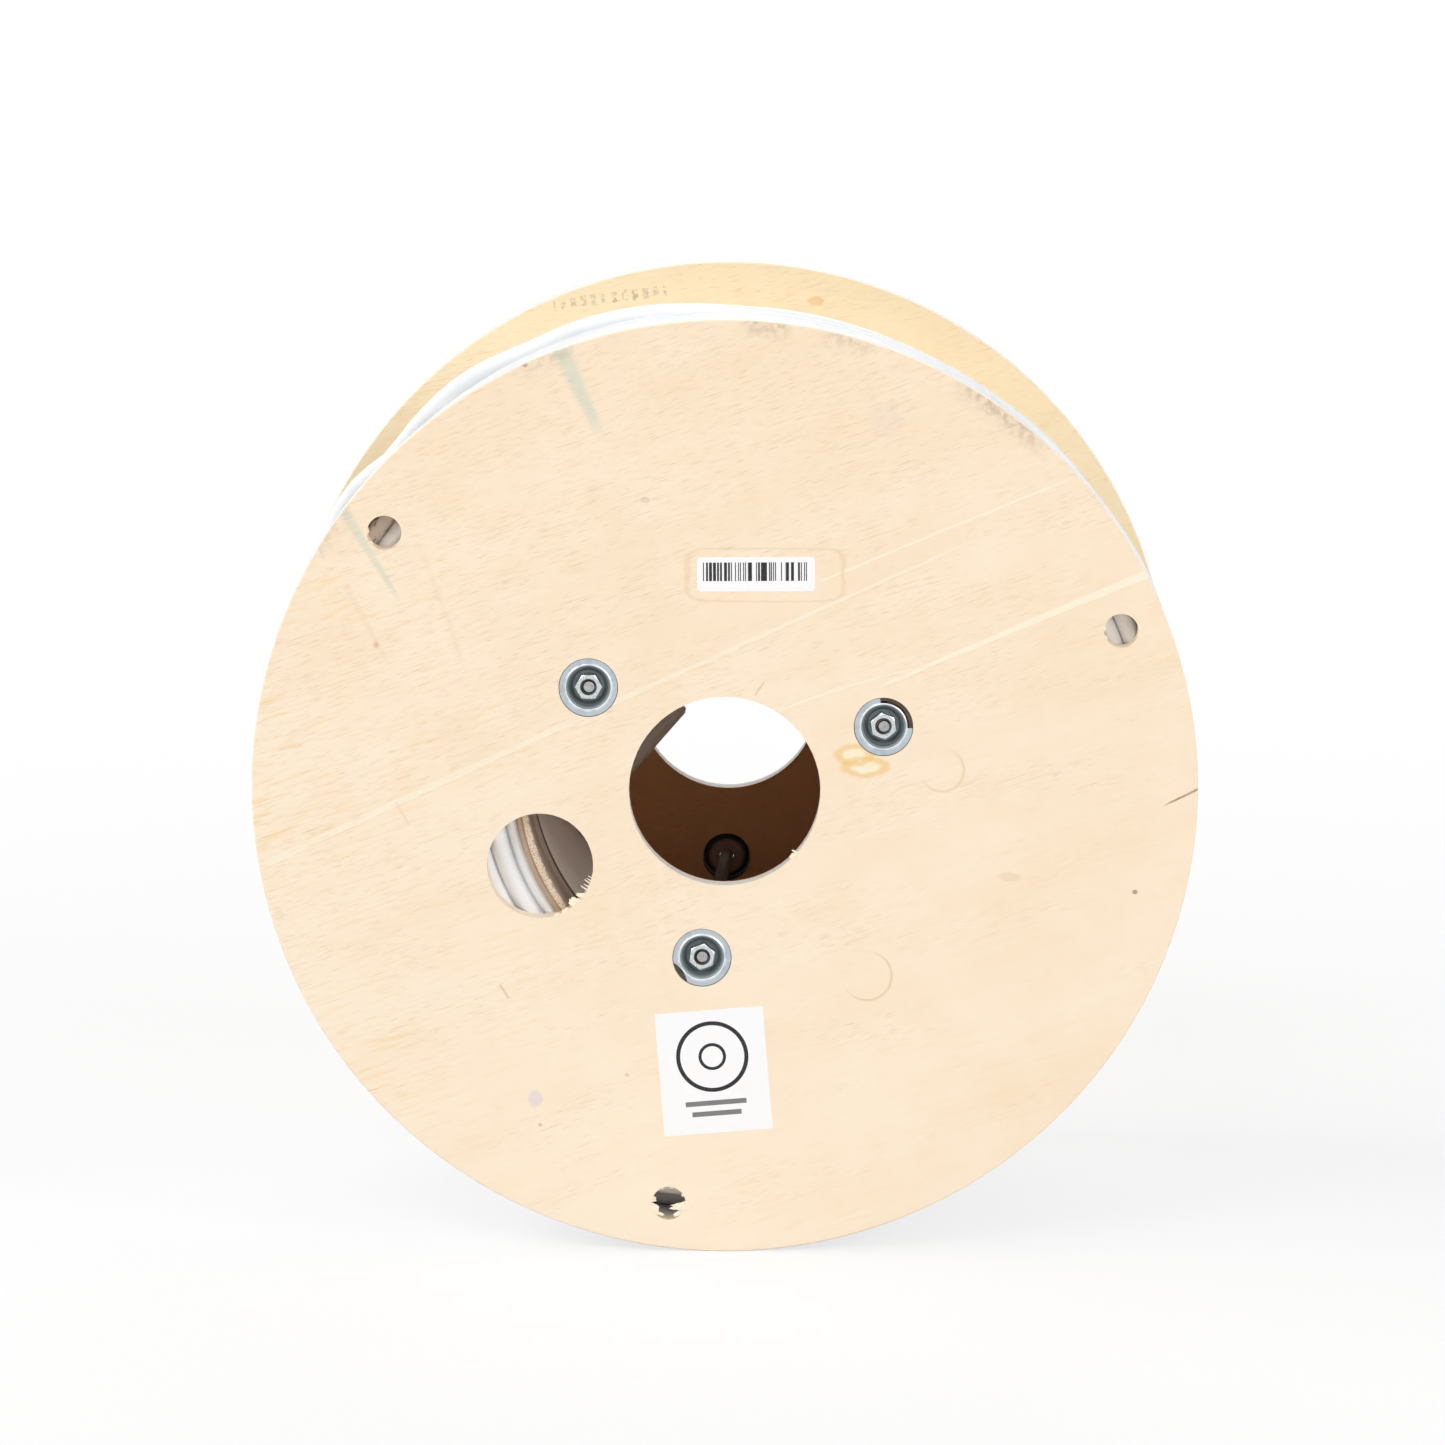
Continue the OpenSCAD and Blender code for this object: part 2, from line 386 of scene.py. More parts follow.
def settle(piece: bpy.types.Object, slot: Slot | None, stands_for: Iterable[str]) -> None:
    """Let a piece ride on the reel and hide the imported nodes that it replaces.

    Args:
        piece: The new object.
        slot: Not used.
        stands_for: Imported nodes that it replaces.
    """
    bpy.context.scene.collection.objects.link(piece)
    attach(piece, BODY)
    nodes = list(stands_for)
    if nodes:
        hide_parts(*nodes)
    LOG.info("built %s", piece.name)


def joined(parts: Iterable[bmesh.types.BMesh]) -> bmesh.types.BMesh:
    """Join several bmeshes into one.

    Args:
        parts: The bmeshes; they are freed.

    Returns:
        One bmesh that holds them all.
    """
    whole = bmesh.new()
    for part in parts:
        carrier = bpy.data.meshes.new("carrier")
        part.to_mesh(carrier)
        part.free()
        whole.from_mesh(carrier)
        bpy.data.meshes.remove(carrier)
    return whole


def line_through(points: Iterable[Sequence[float]], closed: bool = False) -> bmesh.types.BMesh:
    """Join points by edges.

    Args:
        points: The points, in order.
        closed: Whether the last one is joined to the first.

    Returns:
        A bmesh that holds the line.
    """
    mesh = bmesh.new()
    verts = [mesh.verts.new(point) for point in points]
    ends = [*verts[1:], verts[0]] if closed else verts[1:]
    for pair in zip(verts, ends):
        mesh.edges.new(pair)
    return mesh


def spin_round(mesh: bmesh.types.BMesh, sweep: float, steps: int) -> None:
    """Spin a whole outline about the reel's axis.

    Args:
        mesh: The outline, which becomes the spun skin.
        sweep: How far it is spun, in degrees; a full turn closes on itself.
        steps: How many steps that takes.
    """
    bmesh.ops.spin(
        mesh, geom=[*mesh.verts, *mesh.edges], cent=(0.0, 0.0, REEL.flange_r),
        axis=(0.0, -1.0, 0.0), angle=math.radians(sweep), steps=steps,
        use_merge=sweep == FULL_TURN,
    )


def thicken(mesh: bmesh.types.BMesh, height: float) -> None:
    """Draw a flat mesh out along z by this height."""
    raised = bmesh.ops.extrude_face_region(mesh, geom=list(mesh.faces))["geom"]
    lifted = [item for item in raised if isinstance(item, bmesh.types.BMVert)]
    bmesh.ops.translate(mesh, vec=(0.0, 0.0, height), verts=lifted)


def lay_on_face(mesh: bmesh.types.BMesh, spot: Vector, degrees: float) -> None:
    """Stand a flat mesh up at a spot of a flange's face, turned by this angle."""
    upright, turn = Matrix.Rotation(math.radians(90), 4, "X"), math.radians(degrees)
    matrix = Matrix.Translation(spot) @ upright @ Matrix.Rotation(turn, 4, "Z")
    bmesh.ops.transform(mesh, matrix=matrix, verts=mesh.verts)


@dataclass(frozen=True)
class Reel:
    """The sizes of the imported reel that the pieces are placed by."""

    flange_r: float = 200 * MM
    flange_t: float = 9 * MM
    traverse: float = 220 * MM
    barrel_bore_r: float = 84.5 * MM
    rod_r: float = 72.5 * MM
    rod_angles: tuple[float, ...] = (22.4, 142.4, 262.4)
    twist: float = 6.9
    cable_d: float = 8.1 * MM

    @property
    def outer_y(self) -> float:
        """Distance of a flange's outer face from the middle."""
        return self.traverse / 2 + self.flange_t

    def on_disc(self, radius: float, degrees: float, y: float = 0.0) -> Vector:
        """Point at a radius and an angle round the axis, counter-clockwise seen from the front."""
        turn = math.radians(degrees)
        return Vector((radius * math.cos(turn), y, self.flange_r + radius * math.sin(turn)))

    def rod_end(self, number: int, side: Side, y: float) -> Vector:
        """Middle of tie rod 1, 2 or 3 in a flange, at this distance from the reel's middle."""
        turned = self.twist if side is Side.REAR else 0.0
        return self.on_disc(self.rod_r, self.rod_angles[number - 1] + turned, side.value * y)


REEL = Reel()


@dataclass(frozen=True)
class FaceMap:
    """Where a point of a flange lies, as wires in millimetres from the axis and the outer face."""

    bench: Bench
    x: Wire
    height: Wire
    depth: Wire
    along: Wire
    across: Wire
    seed: float

    @classmethod
    def of(cls, bench: Bench, side: Side, grain_degrees: float, seed: float) -> "FaceMap":
        """Map a flange.

        Args:
            bench: The nodes of its finish.
            side: Which flange.
            grain_degrees: Direction of the grain, seen from the front.
            seed: Sets one flange's grain apart from the other's.

        Returns:
            The map.
        """
        x, y, height = bench.place()
        depth = REEL.outer_y * TO_MM - y * side.value
        along, across = (x.towards(height, grain_degrees + turn) for turn in (0, 90))
        return cls(bench, x, height, depth, along, across, seed)

    @property
    def radius(self) -> Wire:
        """Distance from the axis."""
        return self.x.span(self.height)

    def away(self, centre: Pair) -> Wire:
        """Distance from a point of the face."""
        return (self.x - centre[0]).span(self.height - centre[1])

    def grain(self, along: float, across: float, shift: float, detail: Number = 2) -> Wire:
        """Noise drawn out along the grain.

        Args:
            along: Features to a millimetre along the grain.
            across: Features to a millimetre across it.
            shift: Sets one use apart from another.
            detail: How many finer layers it has.

        Returns:
            The noise value.
        """
        at = (self.along * along, self.across * across, self.seed + shift)
        return self.bench.noise(at, detail)


class Mark(Protocol):
    """Anything that is laid over the bare wood of a face."""

    def lay(self, face: FaceMap, colour: Wire) -> Wire:
        """Lay the mark over a colour and hand back the new colour."""


@dataclass(frozen=True)
class Streak:
    """A tapered stain, scratch or crack, in millimetres from the axis."""

    start: Pair
    end: Pair
    start_half: float
    end_half: float
    colour: Colour
    strength: float

    def lay(self, face: FaceMap, colour: Wire) -> Wire:
        """Lay the streak over a colour and hand back the new colour."""
        run = Vector(self.end) - Vector(self.start)
        way = run.normalized()
        from_x, from_h = face.x - self.start[0], face.height - self.start[1]
        share = (from_x * way.x + from_h * way.y) / run.length
        off = from_h * way.x - from_x * way.y
        ragged = face.grain(0.12, 0.8, 60, 3)
        half = share * (self.end_half - self.start_half) + self.start_half
        half = half * (ragged * 0.9 + 0.6)
        body = abs(off).rise(half * 1.3 + 0.15, half * 0.25)
        body = body * share.rise(1.05, 0.75) * share.rise(-0.06, 0.06)
        body = body * (ragged * 0.9 + 0.45).low(1.0)
        return face.bench.blend(colour, self.colour, body * self.strength)


@dataclass(frozen=True)
class Blot:
    """An oval or rounded mark, in millimetres from the axis.

    Its ring is the share of its colour along its edge, and its line half that edge's width. A power
    above 2 squares its outline. An arc leaves the ring only round one direction.
    """

    centre: Pair
    halves: Pair
    colour: Colour
    strength: float
    ring: float = 0.0
    line: float = 0.2
    ragged: float = 0.5
    power: float = 2.0
    arc: float | None = None

    def lay(self, face: FaceMap, colour: Wire) -> Wire:
        """Lay the blot over a colour and hand back the new colour."""
        bench = face.bench
        side = (face.x - self.centre[0]) / self.halves[0]
        rise = (face.height - self.centre[1]) / self.halves[1]
        away = (abs(side) ** self.power + abs(rise) ** self.power) ** (1 / self.power)
        wander = bench.noise((face.x * 0.22, face.height * 0.22, face.seed + 71), 3)
        away = away + (wander - 0.5) * self.ragged
        share = away.rise(1.15, 0.7) * (1 - self.ring)
        share = share + abs(away - 0.92).rise(self.line, self.line * 0.2) * self.ring
        if self.arc is not None:
            share = share * side.towards(rise, self.arc).rise(-0.7, 0.6)
        return bench.blend(colour, self.colour, share * self.strength)


@dataclass(frozen=True)
class Splice:
    """A pale joint between two sheets of the face veneer, in millimetres from the axis, with a thin
    brown line below it that is its dark gap and a painted shadow.
    """

    start: Pair
    end: Pair
    start_half: float
    end_half: float
    bow: float = 0.0
    strength: float = 0.8
    pale: Colour = paint(255, 246, 224)
    seam: Colour = paint(214, 176, 128)

    def lay(self, face: FaceMap, colour: Wire) -> Wire:
        """Lay the joint over a colour and hand back the new colour."""
        wide, tall = self.end[0] - self.start[0], self.end[1] - self.start[1]
        share = (face.x - self.start[0]) / wide
        line = share * tall + share * (1 - share) * (4 * self.bow) + self.start[1]
        wander = face.bench.noise((face.x * 0.05, face.seed + 50), 2)
        off = (face.height - line) * math.cos(math.atan(tall / wide)) + (wander - 0.5) * 0.7
        half = share * (self.end_half - self.start_half) + self.start_half
        within = share.rise(-0.02, 0.03) * share.rise(1.01, 0.93)
        fibre = face.grain(0.08, 1.2, 55, 3)
        band = abs(off).rise(half + 0.35, half - 0.2) * within * (fibre * 0.5 + 0.65).low(1.0)
        # Painted shadow: the thin brown line below the joint, which also stands for its dark gap.
        under = abs(off + half + 0.15).rise(0.4, 0.05) * within * fibre.rise(0.4, 0.7) * 0.3
        colour = face.bench.blend(colour, self.pale, band * self.strength)
        return face.bench.blend(colour, self.seam, under)


@dataclass(frozen=True)
class RimDirt:
    """Brown fuzz along a stretch of the rim; its middle and half length in degrees."""

    degrees: float
    half: float
    strength: float
    colour: Colour = paint(150, 118, 100)

    def lay(self, face: FaceMap, colour: Wire) -> Wire:
        """Lay the brown fuzz over a colour and hand back the new colour."""
        level = face.x.towards(face.height, self.degrees) / face.radius
        start, end = (math.cos(math.radians(self.half * part)) for part in (1.0, 0.2))
        within = level.rise(start, end)
        fuzz = face.bench.noise((face.x * 0.3, face.height * 0.3, face.seed + 83), 3)
        share = face.radius.rise(190.0, 201.0) * within * (fuzz.rise(0.38, 0.62) * 0.8 + 0.2)
        return face.bench.blend(colour, self.colour, share * self.strength)


@dataclass(frozen=True)
class InkRow:
    """A washed-out row of plain ink dabs where a stamp was pressed on, in millimetres from the
    axis.
    """

    centre: Pair
    length: float
    height: float
    degrees: float
    step: float
    colour: Colour
    strength: float

    def lay(self, face: FaceMap, colour: Wire) -> Wire:
        """Lay the ink over a colour and hand back the new colour."""
        side, rise = face.x - self.centre[0], face.height - self.centre[1]
        along, up = (side.towards(rise, self.degrees + turn) for turn in (0, 90))
        cell = along / self.step
        dice = face.bench.dice(cell.whole())
        dab = abs(cell.part() - 0.45).rise(0.34, 0.2)
        tall = abs(up + (dice - 0.5) * 0.8).rise(self.height * 0.5, self.height * 0.5 - 0.8)
        within = abs(along).rise(self.length / 2, self.length / 2 - 1.0)
        worn = face.bench.noise((face.x * 0.55, face.height * 0.55, face.seed + 13), 3, 0.6)
        share = dab * tall * within * worn.rise(0.42, 0.58) * (dice * 0.5 + 0.5)
        return face.bench.blend(colour, self.colour, share * self.strength)


@dataclass(frozen=True)
class Plywood:
    """Pale rotary-cut plywood: pores along the grain, marks on its face and a striped edge."""

    name: str
    side: Side
    grain_degrees: float
    seed: float
    marks: tuple[Mark, ...] = ()
    pale: Colour = paint(255, 238, 214)
    warm: Colour = paint(251, 225, 192)
    pore: Colour = paint(222, 176, 124)
    amber: Colour = paint(251, 216, 158)
    amber_at: Pair = (-184.0, -6.0)
    end_grain: Colour = paint(251, 238, 224)
    glue: Colour = paint(230, 202, 172)
    rim: Colour = paint(255, 251, 245)
    recess: Colour = paint(62, 50, 47)
    inside: Colour = paint(238, 184, 134)
    ply_count: int = 5

    def material(self) -> bpy.types.Material:
        """Build the finish.

        Returns:
            The plywood material for this flange.
        """
        bench = Bench.material(self.name)
        face = FaceMap.of(bench, self.side, self.grain_degrees, self.seed)
        pores = self.pores(face)
        colour = bench.blend(self.pale, self.warm, self.tint(face))
        colour = bench.blend(colour, self.amber, self.ambered(face))
        colour = bench.blend(colour, self.pore, pores * 0.55)
        for mark in self.marks:
            colour = mark.lay(face, colour)
        colour = bench.blend(colour, self.edge(face), abs(bench.facing()[1]).rise(0.8, 0.4))
        colour = self.lay_recesses(face, colour)
        # Painted shade: inside the barrel's bore the inner faces are darkened and warmed, as the
        # drum's inside is lit only by light bounced off brown board.
        bore = REEL.barrel_bore_r * TO_MM
        dim = face.radius.rise(bore - 0.2, bore - 0.6) * face.depth.rise(8.0, 8.6)
        colour = bench.blend(colour, self.inside, dim)
        fuzz = bench.noise((face.along * 0.5, face.across * 3.0, face.depth * 3.0), 3, 0.6)
        relief = fuzz * 0.5 - pores * 0.8
        return bench.finish(colour, fuzz * 0.2 + 0.5, relief, 0.00012, Specular_IOR_Level=0.35)

    def tint(self, face: FaceMap) -> Wire:
        """Slow change of tone, in soft patches and in broad bands of grain."""
        broad = face.bench.noise((face.x * 0.013, face.height * 0.013, self.seed), 3)
        patch = face.bench.noise((face.x * 0.05, face.height * 0.05, self.seed + 6), 3, 0.6)
        bands = face.grain(0.006, 0.06, 4, 3)
        lean = (face.x * 0.5 + face.height) * 0.0011
        return (broad * 0.9 + patch * 0.6 + bands * 0.6 + lean - 0.72).high(0.0).low(1.0)

    def ambered(self, face: FaceMap) -> Wire:
        """Short amber streaks, mostly towards the left of the rim."""
        lines = face.grain(0.05, 0.55, 17, 3).rise(0.5, 0.72)
        patch = face.bench.noise((face.x * 0.02, face.height * 0.02, self.seed + 27), 2)
        rim = face.away(self.amber_at).rise(46.0, 14.0)
        left = (face.x * -1).rise(60.0, 195.0) * 0.6 + 0.2
        return lines * left * patch.rise(0.35, 0.65).high(rim)

    def pores(self, face: FaceMap) -> Wire:
        """Thin dark vessel lines along the grain, denser high and left than low and right."""
        fine = face.grain(0.13, 2.4, 9, 1).rise(0.6, 0.74)
        long = face.grain(0.045, 1.5, 21, 2).rise(0.61, 0.75)
        where = face.grain(0.012, 0.05, 33) + (face.height * 0.7 - face.x * 0.5) * 0.0011
        return ((fine * 0.65 + long * 0.6) * where.rise(0.3, 0.62)).low(1.0)

    def edge(self, face: FaceMap) -> Wire:
        """Stripes of the crossed plies on the rim and in the holes, with a painted highlight that
        whitens the outer rim and the arbor hole's wall.
        """
        bench = face.bench
        wave = bench.noise((face.x * 0.03, face.height * 0.03, self.seed + 90))
        level = (face.depth + (wave - 0.5) * 0.5) / (REEL.flange_t * TO_MM / self.ply_count)
        odd = level.whole().math("PINGPONG", 1.0)
        fibre = bench.noise((face.x * 1.1, face.depth * 4.0, face.height * 1.1), 3, 0.6)
        colour = bench.blend(self.pale, self.end_grain, odd * (fibre * 0.9 + 0.3))
        colour = bench.blend(colour, self.pore, fibre.rise(0.6, 0.8) * 0.3)
        near = level.part().low(1 - level.part())
        colour = bench.blend(colour, self.glue, near.rise(0.07, 0.02) * 0.55)
        # Painted highlight: the outer rim and the arbor hole's wall are whitened.
        outer, arbor = face.radius.rise(196.0, 198.0), face.radius.rise(43.0, 42.0)
        return bench.blend(colour, self.rim, outer.high(arbor) * 0.8)

    def lay_recesses(self, face: FaceMap, colour: Wire) -> Wire:
        """Darken the bare wood under the rims of the cup washers with speckled painted shade."""
        deep = face.depth.rise(0.3, 0.7) * face.depth.rise(8.8, 8.4)
        speckle = face.bench.noise((face.x * 1.2, face.depth, face.height * 1.2), 3, 0.6)
        shade_speckle = (speckle * 0.5 + 0.65).low(1.0)
        for number in (1, 2, 3):
            spot = REEL.rod_end(number, self.side, 0.0) / MM
            inside = face.away((spot.x, spot.z - REEL.flange_r / MM)).rise(12.75, 12.45)
            colour = face.bench.blend(colour, self.recess, inside * deep * shade_speckle)
        return colour


@dataclass(frozen=True)
class Cardboard:
    """Spiral-wound grey-brown board: overlapping strips inside, painted light on the left of the
    inside, and a layered, fibrous end.
    """

    skin: Colour = paint(230, 209, 190)
    deep: Colour = paint(210, 184, 161)
    cut_end: Colour = paint(182, 154, 132)
    torn: Colour = paint(244, 222, 200)
    ragged: Colour = paint(150, 122, 98)
    shade: Colour = paint(168, 142, 120)
    seam: Colour = paint(60, 42, 32)
    lit_wall: Colour = paint(254, 240, 226)
    strip_w: float = 246.0
    seam_shift: float = 20.183

    def material(self, torn: bool = False) -> bpy.types.Material:
        """Build the finish.

        Args:
            torn: Whether it is for the pale torn paper at the barrel's end.

        Returns:
            The cardboard material.
        """
        bench = Bench.material("torn_board" if torn else "spiral_cardboard")
        x, y, height = bench.place()
        fibre = bench.noise((x * 0.9, y * 0.9, height * 0.9), 4, 0.65)
        coarse = bench.noise((x * 2.2, y * 2.2, height * 2.2), 3, 0.6)
        if torn:
            colour = bench.blend(self.torn, self.ragged, coarse.rise(0.45, 0.66) * 0.7)
            colour = bench.blend(colour, self.seam, coarse.rise(0.6, 0.75) * 0.6)
            return bench.finish(colour, 0.9, fibre, 0.0004, Specular_IOR_Level=0.2)
        mottle = bench.noise((x * 0.05, y * 0.05, height * 0.05), 3)
        colour = bench.blend(self.skin, self.deep, mottle * 0.5 + fibre * 0.4)
        # Painted light: the board's left side, seen through the lead-out hole, is painted paler
        # where light through the holes falls on it.
        colour = bench.blend(colour, self.lit_wall, x.rise(-35.0, -70.0) * 0.9)
        turns = height.math("ARCTAN2", x) / (2 * math.pi)
        spiral = (y / self.strip_w + turns + self.seam_shift).part()
        line = abs(spiral - 0.5).rise(0.02, 0.007)
        under = spiral.rise(0.2, 0.49) * spiral.rise(0.51, 0.5)
        colour = bench.blend(colour, self.shade, under * 0.7)
        colour = bench.blend(colour, self.seam, line * 0.9)
        radius = x.span(height)
        layers = bench.noise((radius * 2.6, bench.noise((x * 0.05, height * 0.05), 1), 0.0), 1)
        cut = bench.blend(self.cut_end, self.deep, coarse.rise(0.45, 0.7) * 0.6)
        cut = bench.blend(cut, self.seam, layers.rise(0.58, 0.7) * radius.rise(86.2, 87.4) * 0.6)
        cut = bench.blend(cut, self.ragged, abs(radius - 87.0).rise(0.7, 0.2) * 0.6)
        colour = bench.blend(colour, cut, abs(bench.facing()[1]).rise(0.5, 0.8))
        return bench.finish(colour, 0.85, fibre * 0.6 - line * 0.7, 0.0002, Specular_IOR_Level=0.25)


@dataclass(frozen=True)
class Zinc:
    """Dull zinc plate on a pressed cup, ringed inside; painted shade makes the cup darker inside
    than on its rim, a painted highlight brightens its lip, and painted brown shade covers its
    underside.
    """

    name: str
    centre: Vector
    rim: Colour = paint(190, 198, 205)
    lip: Colour = paint(224, 230, 234)
    cup: Colour = paint(150, 158, 160)
    grime: Colour = paint(92, 100, 102)
    underside: Colour = paint(160, 132, 118)
    dust: Colour = paint(170, 180, 190)

    def material(self) -> bpy.types.Material:
        """Build the finish.

        Returns:
            The zinc material of one cup.
        """
        bench = Bench.material(self.name)
        x, y, height = bench.place()
        radius = (x - self.centre.x / MM).span(height - (self.centre.z - REEL.flange_r) / MM)
        depth = REEL.outer_y * TO_MM - abs(y)
        speckle = bench.noise((x * 0.9, y * 0.9, height * 0.9), 4, 0.6)
        rings = bench.noise((radius * 2.4, depth * 0.8, self.centre.x * 40), 3, 0.6)
        # Painted shade: the cup's inside and the rounded edge of its mouth are painted darker than
        # the rim.
        inside = depth.rise(1.6, 2.6).high(radius.rise(9.7, 9.3))
        colour = bench.blend(self.rim, self.cup, inside)
        # Painted highlight: a bright ring along the cup's lip.
        lip = abs(radius - 9.85).rise(0.75, 0.3) * depth.rise(1.4, 1.0)
        colour = bench.blend(colour, self.lip, lip)
        colour = bench.blend(colour, self.grime, rings.rise(0.45, 0.7) * inside * 0.8)
        # Painted shade: the underside, in the dark inside the drum, is painted brown.
        colour = bench.blend(colour, self.underside, depth.rise(7.2, 7.6))
        colour = bench.blend(colour, self.grime, speckle.rise(0.55, 0.8) * 0.35)
        dust = bench.noise((x * 0.25, y * 0.25, height * 0.25), 2).rise(0.45, 0.7)
        colour = bench.blend(colour, self.dust, dust * (1 - inside) * 0.6)
        roughness = speckle * 0.2 + inside * 0.34 + 0.26
        relief = rings * inside * 0.7 + speckle * 0.3
        return bench.finish(colour, roughness, relief, 0.00008, Metallic=1.0)


@dataclass(frozen=True)
class Steel:
    """Bright zinc on a nut, dark round its thread with painted shade where a countersink would be.
    """

    name: str
    centre: Vector
    bright: Colour = paint(214, 220, 221)
    dull: Colour = paint(160, 166, 166)
    dark: Colour = paint(52, 54, 55)

    def material(self) -> bpy.types.Material:
        """Build the finish.

        Returns:
            The steel material of one nut.
        """
        bench = Bench.material(self.name)
        x, y, height = bench.place()
        radius = (x - self.centre.x / MM).span(height - (self.centre.z - REEL.flange_r) / MM)
        speckle = bench.noise((x * 1.4, y * 1.4, height * 1.4), 4, 0.6)
        colour = bench.blend(self.bright, self.dull, speckle.rise(0.4, 0.75))
        # Painted shade: a dark ring round the bore stands in for a countersink's shade.
        colour = bench.blend(colour, self.dark, radius.rise(3.75, 3.35) * 0.9)
        return bench.finish(colour, speckle * 0.2 + 0.3, speckle, 0.00005, Metallic=1.0)


@dataclass(frozen=True)
class ThreadSteel:
    """Dull rolled thread: dark in its roots, with a grey sawn end."""

    name: str
    front: Vector
    rear: Vector
    crest: Colour = paint(150, 146, 142)
    root: Colour = paint(48, 44, 42)
    end: Colour = paint(176, 178, 178)

    def material(self) -> bpy.types.Material:
        """Build the finish.

        Returns:
            The steel material of one leaning rod.
        """
        bench = Bench.material(self.name)
        x, y, height = bench.place()
        lean = (self.rear - self.front) / (self.rear.y - self.front.y)
        middle = self.front - lean * self.front.y
        side = x - y * lean.x - middle.x / MM
        rise = height - y * lean.z - (middle.z - REEL.flange_r) / MM
        radius = side.span(rise)
        speckle = bench.noise((x * 1.6, y * 1.6, height * 1.6), 4, 0.6)
        worn = radius.rise(2.6, 2.95) * (speckle * 0.7 + 0.5).low(1.0)
        colour = bench.blend(self.root, self.crest, worn)
        sawn = abs(bench.facing()[1]).rise(0.9, 0.97) * radius.rise(2.6, 2.45)
        end = bench.blend(self.end, self.crest, speckle.rise(0.4, 0.7))
        colour = bench.blend(colour, end, sawn)
        return bench.finish(colour, speckle * 0.2 + 0.42, speckle, 0.0001, Metallic=1.0)


@dataclass(frozen=True)
class Sheath:
    """White cable sheath with a soft sheen, a little greyed by handling, with painted brown shade
    and real dark marks on the outer turn seen in the left drive hole.
    """

    name: str
    white: Colour = paint(246, 247, 248)
    grey: Colour = paint(226, 226, 226)
    wear: float = 0.5
    hole_shade: Colour = paint(208, 191, 177)
    mark: Colour = paint(84, 70, 60)
    hole_shade_at: Pair = (-143.0, 110.1)

    def material(self) -> bpy.types.Material:
        """Build the finish.

        Returns:
            The sheath material.
        """
        bench = Bench.material(self.name)
        x, y, height = bench.place()
        broad = bench.noise((x * 0.02, y * 0.05, height * 0.02), 3)
        scuff = bench.noise((x * 0.25, y * 0.8, height * 0.25), 4, 0.6)
        worn = (broad.rise(0.5, 0.8) + scuff.rise(0.6, 0.8) * 0.6) * self.wear
        colour = bench.blend(self.white, self.grey, worn)
        # Painted shade: the outer turn seen in the left drive hole is painted brown where less
        # light reaches it; the dark marks laid over it are real marks.
        outer_turn = x.span(height).rise(179.3, 179.9) * y.rise(-96.0, -100.0)
        away = (x - self.hole_shade_at[0]).span(height - self.hole_shade_at[1])
        patch = away.rise(13.0, 9.0) * outer_turn
        colour = bench.blend(colour, self.hole_shade, patch * 0.9)
        colour = bench.blend(colour, self.mark, scuff.rise(0.54, 0.6) * patch * 0.7)
        return bench.finish(colour, scuff * 0.2 + 0.36, scuff, 0.00003, Specular_IOR_Level=0.4)


@dataclass(frozen=True)
class Paper:
    """White label paper with a printed pattern drawn by its own method."""

    name: str
    centre: Pair
    degrees: float
    draw: Callable[[Bench, Wire, Wire], Wire]
    white: Colour = paint(253, 253, 254)
    ink: Colour = paint(38, 36, 38)

    def material(self) -> bpy.types.Material:
        """Build the finish.

        Returns:
            The printed paper.
        """
        bench = Bench.material(self.name)
        x, _, height = bench.place()
        side, rise = x - self.centre[0], height - self.centre[1]
        along, up = (side.towards(rise, self.degrees + turn) for turn in (0, 90))
        fibre = bench.noise((x * 2.0, 0.0, height * 2.0), 3, 0.6)
        ink = self.draw(bench, along, up) * (fibre.rise(0.8, 0.5) * 0.15 + 0.85)
        colour = bench.blend(self.white, self.ink, ink)
        return bench.finish(colour, 0.55, fibre, 0.00002, Specular_IOR_Level=0.3)


def draw_bars(bench: Bench, along: Wire, up: Wire) -> Wire:
    """A plain row of upright bars of mixed widths.

    Args:
        bench: The nodes being built.
        along: Place along the label, in millimetres.
        up: Place up the label, in millimetres.

    Returns:
        Ink of 0 to 1.
    """
    dice = bench.dice((along / 0.42).whole())
    inside = abs(along).rise(22.4, 22.3) * up.rise(-2.9, -2.8) * up.rise(5.1, 5.0)
    return dice.rise(0.46, 0.5) * inside


def draw_reel_sign(bench: Bench, along: Wire, up: Wire) -> Wire:
    """A plain sign of a reel seen from its end, over two blank bars.

    Args:
        bench: The nodes being built.
        along: Place along the label, in millimetres.
        up: Place up the label, in millimetres.

    Returns:
        Ink of 0 to 1.
    """
    away = along.span(up - 6.5)
    ink = abs(away - 14.5).rise(0.95, 0.8).high(abs(away - 5.2).rise(0.75, 0.6))
    for level, half in ((-13.6, 13.0), (-18.2, 10.5)):
        bar = abs(up - level).rise(1.15, 1.0) * abs(along).rise(half + 0.1, half - 0.1)
        ink = ink.high(bar * 0.8)
    return ink


@dataclass(frozen=True)
class Chip:
    """A torn chip of veneer on a hole's edge: its angle there, size, lean and depth, in millimetres
    and degrees.
    """

    angle: float
    width: float
    length: float
    lean: float
    depth: float = 0.4
    thick: float = 0.5


@dataclass(frozen=True)
class Tear:
    """The torn chips of one hole."""

    name: str
    centre: Pair
    radius: float
    chips: tuple[Chip, ...]


